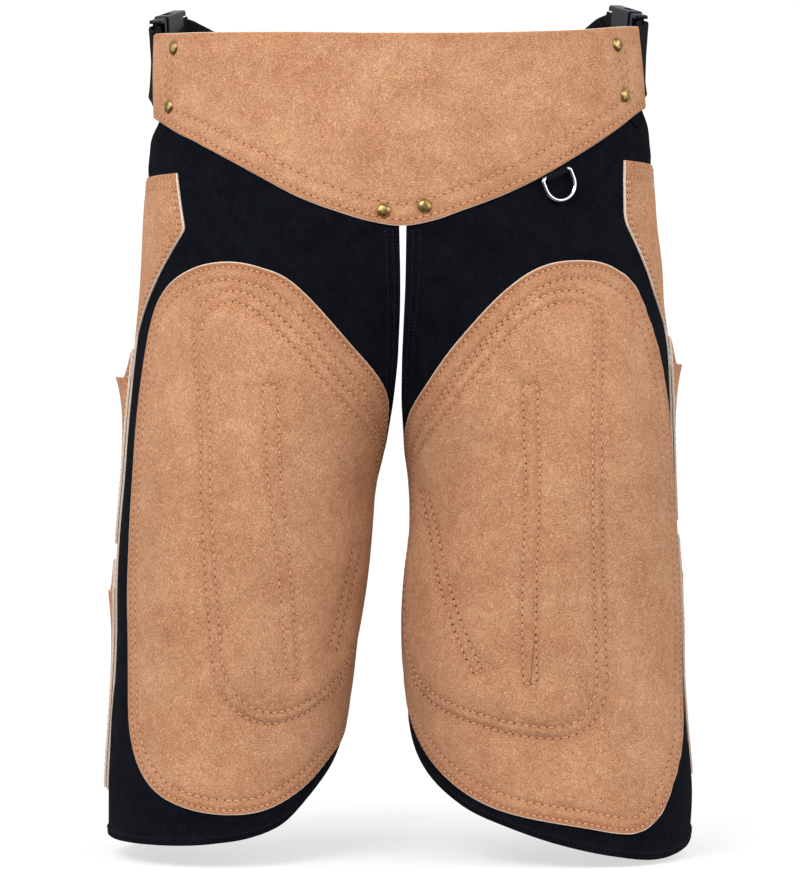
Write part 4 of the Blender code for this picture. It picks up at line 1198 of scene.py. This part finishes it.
def panel_rows():
    """The stitched rows of the waist panel: angle and height."""
    rows = []
    for rise, first, last in ((OUTER_ROW, -77.5, 74.5), (INNER_ROW, -64.3, 61.2)):
        angles = np.linspace(first, last, 220)
        top, bottom = panel_edges(angles)
        slope = np.gradient(bottom, angles * WAIST_WIDTH)
        heights = bottom + rise * np.sqrt(1 + slope ** 2)
        rows.append(pairs(lean(angles, (top - heights) / (top - bottom)), heights))
    for ends in PANEL_SIDE_ROWS:
        rows.append(resample(np.array(ends) * WAIST_FLAT, 2.0) / WAIST_FLAT)
    return rows


def waist_panel():
    """The suede yoke, with its stitched border, its end rows and its rivets."""
    first, last = PANEL["angle"][[0, -1]]
    angles = np.concatenate([first + np.array([0, 0.1, 0.4]), np.linspace(-79, 76, 300), [76.6, 76.9, last]])
    top, bottom = panel_edges(angles)
    share = np.concatenate([[0, 0.004, 0.014], np.linspace(0.03, 0.97, 62), [0.986, 0.996, 1]])[:, None]
    heights = top + (bottom - top) * share
    around = lean(angles + 0 * share, share)
    flat = pairs(around, heights) * WAIST_FLAT
    rows = panel_rows()
    caps = np.array(list(RIVETS.values())) * WAIST_FLAT
    to_cap = np.linalg.norm(flat[:, None] - caps[None], axis=2).min(axis=1)
    near, to_cap, waves = (v.reshape(around.shape) for v in (
        distances(flat, [row * WAIST_FLAT for row in rows]),
        np.clip(to_cap - RIVET_DENT, 0, None),
        ripple(flat, 21, 70, 0.16 * MM),
    ))
    edge = np.minimum(top - heights, heights - bottom)
    edge = np.minimum(edge, np.minimum(angles - first, last - angles) * WAIST_WIDTH)
    out = suede_face(near, edge, (0.3, 6), (0.4, 1.7), (0.8, 1.7))
    out += waves * np.clip(edge / 12, 0, 1) - 0.35 * MM * bell(to_cap, 2)
    layers = [waist_point(around, heights * MM, panel_lift(around) + v) for v in (0, out)]
    obj = grid_piece("suede_waist_panel", layers, SUEDE_WAIST, "suede", sides=(2, 2), ends=(1, 1))
    seam_mark(obj, 0.5 * bell(near, 1.9) + 0.3 * bell(edge, 7) + 0.5 * bell(to_cap, 1.6))
    pitches = [OUTER_STITCH] + [INNER_STITCH] * (len(rows) - 1)
    sewn = []
    for row, pitch in zip(rows, pitches):
        level = panel_lift(row[:, 0]) + SUEDE
        line, above = (waist_point(row[:, 0], row[:, 1] * MM, level + v) for v in (0, MM))
        sewn.append((line, above - line, pitch))
    threads = sewing("stitches_waist_panel", sewn, obj)
    caps = [rivet(name, *place) for name, place in RIVETS.items()]
    on = ["canvas_leg_left", "canvas_leg_right"]
    sheet(obj, layers[1], [threads, *caps], held="stretched", rests_on=on)


def facing(point, ahead, above):
    """A placing matrix whose Z axis points ahead and whose Y axis is as near as can be to above."""
    z = Vector(ahead).normalized()
    x = Vector(above).cross(z).normalized()
    turn = Matrix((x, z.cross(x), z)).transposed().to_4x4()
    return Matrix.Translation(Vector(point)) @ turn


def rivet(name, angle, height):
    """A domed brass cap: a turned profile with a rolled rim."""
    out = panel_lift(angle) + SUEDE - 0.2 * MM
    point, ahead = (waist_point(angle, height * MM, out + v) for v in (0, MM))
    tall = RIVET_HEIGHT + RIVET_LIFT
    profile = [(0.93, 0.0), (1.0, 0.10), (1.015, 0.20), (0.99, 0.29), (0.955, 0.33)]
    profile += [(0.95 * np.sin(a), 0.34 + 0.66 * np.cos(a)) for a in np.linspace(0.5 * np.pi, 0, 12)[1:-1]]
    around = 48
    points = [
        (RIVET_RADIUS * r * np.cos(a), RIVET_RADIUS * r * np.sin(a), tall * h)
        for r, h in profile for a in circle(around)
    ]
    tip = len(points)
    points.append((0, 0, tall))
    faces = [cap_face(around)] + tube_faces(around, len(profile))
    last = tip - around
    faces += [(last + k, last + (k + 1) % around, tip) for k in range(around)]
    obj = add_mesh(f"brass_{name}", points, faces, [BRASS])
    obj.data.transform(facing(point, ahead - point, (0, 0, 1)))
    dress(obj)
    return obj


# Webbing


# Half of a webbing's section, as shares of its width and its thickness; the other half mirrors it.
WEB_SECTION = [
    (-0.5, 0.0), (-0.492, 0.36), (-0.47, 0.5), (-0.36, 0.47), (-0.18, 0.5),
    (0.0, 0.5), (0.18, 0.5), (0.36, 0.47), (0.47, 0.5), (0.492, 0.36),
]


def ribbon(name, centres, across, width, thickness, step=0.8 * MM):
    """Webbing with rounded edges along a path, with a map that its weave follows."""
    widths = np.broadcast_to(width, len(centres))[:, None]
    data = smooth_path(np.concatenate([centres, unit(across), widths], axis=1), step)
    centres, across, width = data[:, :3], unit(data[:, 3:6]), data[:, 6]
    along = unit(np.gradient(centres, axis=0))
    away = unit(np.cross(along, across))
    across = np.cross(away, along)
    run = np.concatenate([[0], np.cumsum(np.linalg.norm(np.diff(centres, axis=0), axis=1))])
    sections = WEB_SECTION + [(-x, -y) for x, y in WEB_SECTION]
    points, places = [], []
    for c, w, n, full, at in zip(centres, across, away, width, run):
        for x, y in sections:
            points.append(c + w * full * x + n * thickness * y)
            places.append((full * x / MM + (0 if y >= 0 else 200), at / MM))
    each = len(sections)
    faces = [cap_face(each), cap_face(each, len(points) - each)] + tube_faces(each, len(centres))
    obj = add_mesh(name, points, faces, [WEB])
    give_map(obj, places)
    dress(obj)


def smooth_path(data, step):
    """Resamples a path of points and rounds its corners."""
    along = np.concatenate([[0], np.cumsum(np.linalg.norm(np.diff(data[:, :3], axis=0), axis=1))])
    at = np.linspace(0, along[-1], max(8, int(along[-1] / step)))
    rough = np.stack([np.interp(at, along, data[:, k]) for k in range(data.shape[1])], axis=1)
    for _ in range(2):
        rough[1:-1] = (rough[:-2] + 2 * rough[1:-1] + rough[2:]) / 4
    return rough


def fold(bar, ahead, away, radius, lead, tail, steps=13):
    """A path that comes to a bar on its away side, turns round it and goes back on the other side."""
    first = bar + away * radius - ahead * lead
    turn = np.linspace(0, np.pi, steps)[:, None]
    round_bar = bar + radius * (np.sin(turn) * ahead + np.cos(turn) * away)
    return np.concatenate([[first], round_bar, [round_bar[-1] - ahead * tail]])


def buckle_frame(side):
    """The buckle's middle and its directions: towards the back, up, and out."""
    place = BUCKLE[side]
    turn, rise = np.radians(place["turn"]), np.radians(place["rise"])
    back = np.array([-np.sin(turn) * np.cos(rise), np.cos(turn) * np.cos(rise), np.sin(rise)])
    out = np.array([np.cos(turn), np.sin(turn), 0.0])
    back, out = (v * (SIDES[side], 1, 1) for v in (back, out))
    up = np.cross(back, out) * -SIDES[side]
    middle = np.array([SIDES[side] * place["x"], place["y"], place["z"]]) * MM
    return middle, back, up, out


def belts():
    """The belt's three lengths of webbing, folded round the buckles' bars."""
    radius = BAR / 2 + LOOP_CLEARANCE + WEBBING / 2
    reach = BUCKLE_LENGTH / 2 - BAR / 2
    ends = []
    for side in ("right", "left"):
        middle, back, up, out = buckle_frame(side)
        line = BELT_LINE[side]
        angles = np.linspace(BELT_START[side], BELT_END[side], 6)
        heights = smooth(angles, line["angle"], line["height"]) * MM
        half = BELT_WIDTH / 2
        low, path, high = (
            waist_point(SIDES[side] * angles, heights + rise, WEBBING / 2) for rise in (-half, 0, half)
        )
        upright = unit(high - low)
        slant = np.linalg.norm(np.cross(unit(np.gradient(path, axis=0)), upright), axis=1)
        round_bar = fold(middle - back * reach, back, out, radius, FOLD_LEAD, FOLD_TAIL)
        centres = np.concatenate([path, round_bar])
        across = np.concatenate([upright, np.tile(up, (len(round_bar), 1))])
        widths = np.concatenate([BELT_WIDTH / slant, np.full(len(round_bar), BELT_WIDTH)])
        ribbon(f"web_belt_side_{side}", centres, across, widths, WEBBING)
        ends.append((fold(middle + back * reach, -back, out, radius, FOLD_LEAD, FOLD_TAIL)[::-1], up))
    angles = np.radians(np.linspace(*BACK_ANGLES, 61))
    rise = ((angles - np.pi) / (angles[-1] - np.pi)) ** 2
    heights = BACK_HEIGHT + (BACK_END_HEIGHT - BACK_HEIGHT) * rise
    path = np.stack([BACK_WIDTH * np.sin(angles), -BACK_DEPTH * np.cos(angles), heights], axis=1)
    (right, right_up), (left, left_up) = ends
    centres = np.concatenate([right, path, left[::-1]])
    ups = [right_up] * len(right) + [np.array([0, 0, 1.0])] * len(path) + [left_up] * len(left)
    ribbon("web_belt_back", centres, np.array(ups), BELT_WIDTH, WEBBING)


def leg_straps():
    for side in SIDES:
        turns = np.linspace(*STRAP_TURNS, 60)
        inward = -(STRAP_GAP + WEBBING / 2)
        half = STRAP_WIDTH / 2
        low, centres, high = (
            leg_point(side, turns, STRAP_HEIGHT + rise, inward) for rise in (-half, 0, half)
        )
        ribbon(f"web_leg_strap_{side}", centres, high - low, STRAP_WIDTH, WEBBING)


def ring_frame():
    """The ring's bar: its middle, its direction, the way down from it, and out."""
    point = waist_point(RING_ANGLE, RING_HEIGHT, CANVAS)
    out = unit(waist_point(RING_ANGLE, RING_HEIGHT, 2 * CANVAS) - point)
    level = unit(np.cross((0, 0, 1.0), out))
    tilt = np.radians(RING_TILT)
    upward = np.array([0, 0, 1.0])
    along = level * np.cos(tilt) + upward * np.sin(tilt)
    down = -unit(upward - along * along[2])
    stand = SEAM_GAP + LOOP_WEBBING + LOOP_CLEARANCE + RING_WIRE
    return point + out * stand, along, down, out


def ring_and_loop():
    """The chrome ring and the webbing loop that holds its bar."""
    middle, along, down, out = ring_frame()
    flat = unit(np.cross(out, along))
    flat = flat * -np.sign(flat[2])
    radius = RING_WIRE + LOOP_CLEARANCE + LOOP_WEBBING / 2
    centres = fold(middle, flat, out, radius, LOOP_REACH, LOOP_REACH, steps=17)
    across = np.tile(along, (len(centres), 1))
    ribbon("web_ring_loop", centres, across, LOOP_WIDTH, LOOP_WEBBING, step=0.4 * MM)
    inner = RING_RADIUS - RING_CORNER
    arcs = [
        (-inner, RING_CORNER, RING_CORNER, -RING_CORNER, 90, 180, 7),
        (0, RING_SIDE, RING_RADIUS, RING_RADIUS, 180, 0, 41),
        (inner, RING_CORNER, RING_CORNER, -RING_CORNER, 0, 90, 7),
    ]
    path = []
    for x, drop, wide, deep, start, end, count in arcs:
        a = np.radians(np.linspace(start, end, count))
        path.append(pairs(x + wide * np.cos(a), drop + deep * np.sin(a)))
    spots = np.array([middle + along * x + down * drop for x, drop in np.concatenate(path)])
    ahead = unit(np.cross(along, down))
    beside = unit(np.roll(spots, -1, axis=0) - np.roll(spots, 1, axis=0))
    around = 20
    points = []
    for spot, way in zip(spots, beside):
        sideways = np.cross(way, ahead)
        points += [spot + RING_WIRE * (np.cos(a) * sideways + np.sin(a) * ahead) for a in circle(around)]
    ring = add_mesh("chrome_d_ring", points, tube_faces(around, len(spots), closed=True), [CHROME])
    dress(ring, "ring")


def dress_buckles():
    for side in SIDES:
        for name in ("plug", "socket"):
            node = bpy.data.objects[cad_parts[f"buckle_{name}_{side}"].name]
            for place in node.material_slots:
                place.material = PLASTIC


# Floor, light and camera

FLOOR_DROP = 4 * MM
# The paper's edge fades out between these distances from the middle, in metres.
FLOOR_FADE = (0.24, 0.52)
CAMERA_PLACE = (0.0, -2.73, -0.271875)
CAMERA_LENS = 142.95


def stage():
    low = CAD_BOUNDS[0][2] - FLOOR_DROP
    bpy.ops.mesh.primitive_plane_add(size=9, location=(0, 0, low))
    floor = bpy.context.object
    floor.name = "floor"
    m = Nodes("floor_paper", (0.97, 0.97, 0.97), 0.9, Specular_IOR_Level=0.05)
    place = m.add("ShaderNodeTexCoord").outputs["Object"]
    gone = m.add("ShaderNodeVectorMath", {0: place}, operation="LENGTH").outputs["Value"]
    m.join(m.spread(gone, *FLOOR_FADE, 0.46, 0.0), "Alpha")
    floor.data.materials.append(m.material)


def hang(name, data, place, turn):
    """An object for a light or a camera, at a place."""
    obj = bpy.data.objects.new(name, data)
    obj.location = place
    obj.rotation_euler = turn
    bpy.context.scene.collection.objects.link(obj)
    return obj


def area_light(name, place, aim, size, power, color=(1, 1, 1)):
    data = bpy.data.lights.new(name, "AREA")
    data.shape = "RECTANGLE"
    data.size, data.size_y = size
    data.energy = power
    data.color = color
    hang(name, data, place, (Vector((0, 0, aim)) - Vector(place)).to_track_quat("-Z", "Y").to_euler())


def studio_world():
    """White behind the object, and a soft light that is stronger from above than from below."""
    world = bpy.data.worlds.new("studio")
    bpy.context.scene.world = world
    w = Tree(world)
    w.tree.nodes.clear()
    toward = w.add("ShaderNodeTexCoord").outputs["Generated"]
    height = w.add("ShaderNodeSeparateXYZ", {0: toward}).outputs["Z"]
    grade = w.spread(height, -0.5, 0.7, 0.12, 0.80)
    cast, seen = (
        w.add("ShaderNodeBackground", {"Color": (1, 1, 1, 1), "Strength": strength}).outputs[0]
        for strength in (grade, 1.05)
    )
    to_camera = w.add("ShaderNodeLightPath").outputs["Is Camera Ray"]
    mixed = w.add("ShaderNodeMixShader", {0: to_camera, 1: cast, 2: seen}).outputs[0]
    w.add("ShaderNodeOutputWorld", {"Surface": mixed})


def lights_and_camera():
    studio_world()
    area_light("key", (-0.9, -1.7, 0.95), -0.10, (1.3, 1.0), 34, (1.0, 0.985, 0.965))
    area_light("fill", (1.5, -1.6, 0.5), -0.15, (1.3, 1.3), 15, (0.98, 0.99, 1.0))
    area_light("side_left", (-2.0, -0.5, 0.2), -0.25, (0.9, 1.4), 9.5)
    area_light("side_right", (2.0, -0.5, 0.2), -0.25, (0.9, 1.4), 12)
    data = bpy.data.cameras.new("photo_camera")
    data.lens = CAMERA_LENS
    data.sensor_width = 36
    bpy.context.scene.camera = hang("photo_camera", data, CAMERA_PLACE, (np.pi / 2, 0, 0))
    bpy.context.scene.view_settings.view_transform = "Standard"


lights_and_camera()
stage()
waist_panel()
for side in SIDES:
    leg_cloth(side)
    knee_patch(side)
    hip_patch(side)
    pocket("upper", side)
    pocket("lower", side)
belts()
leg_straps()
ring_and_loop()
dress_buckles()
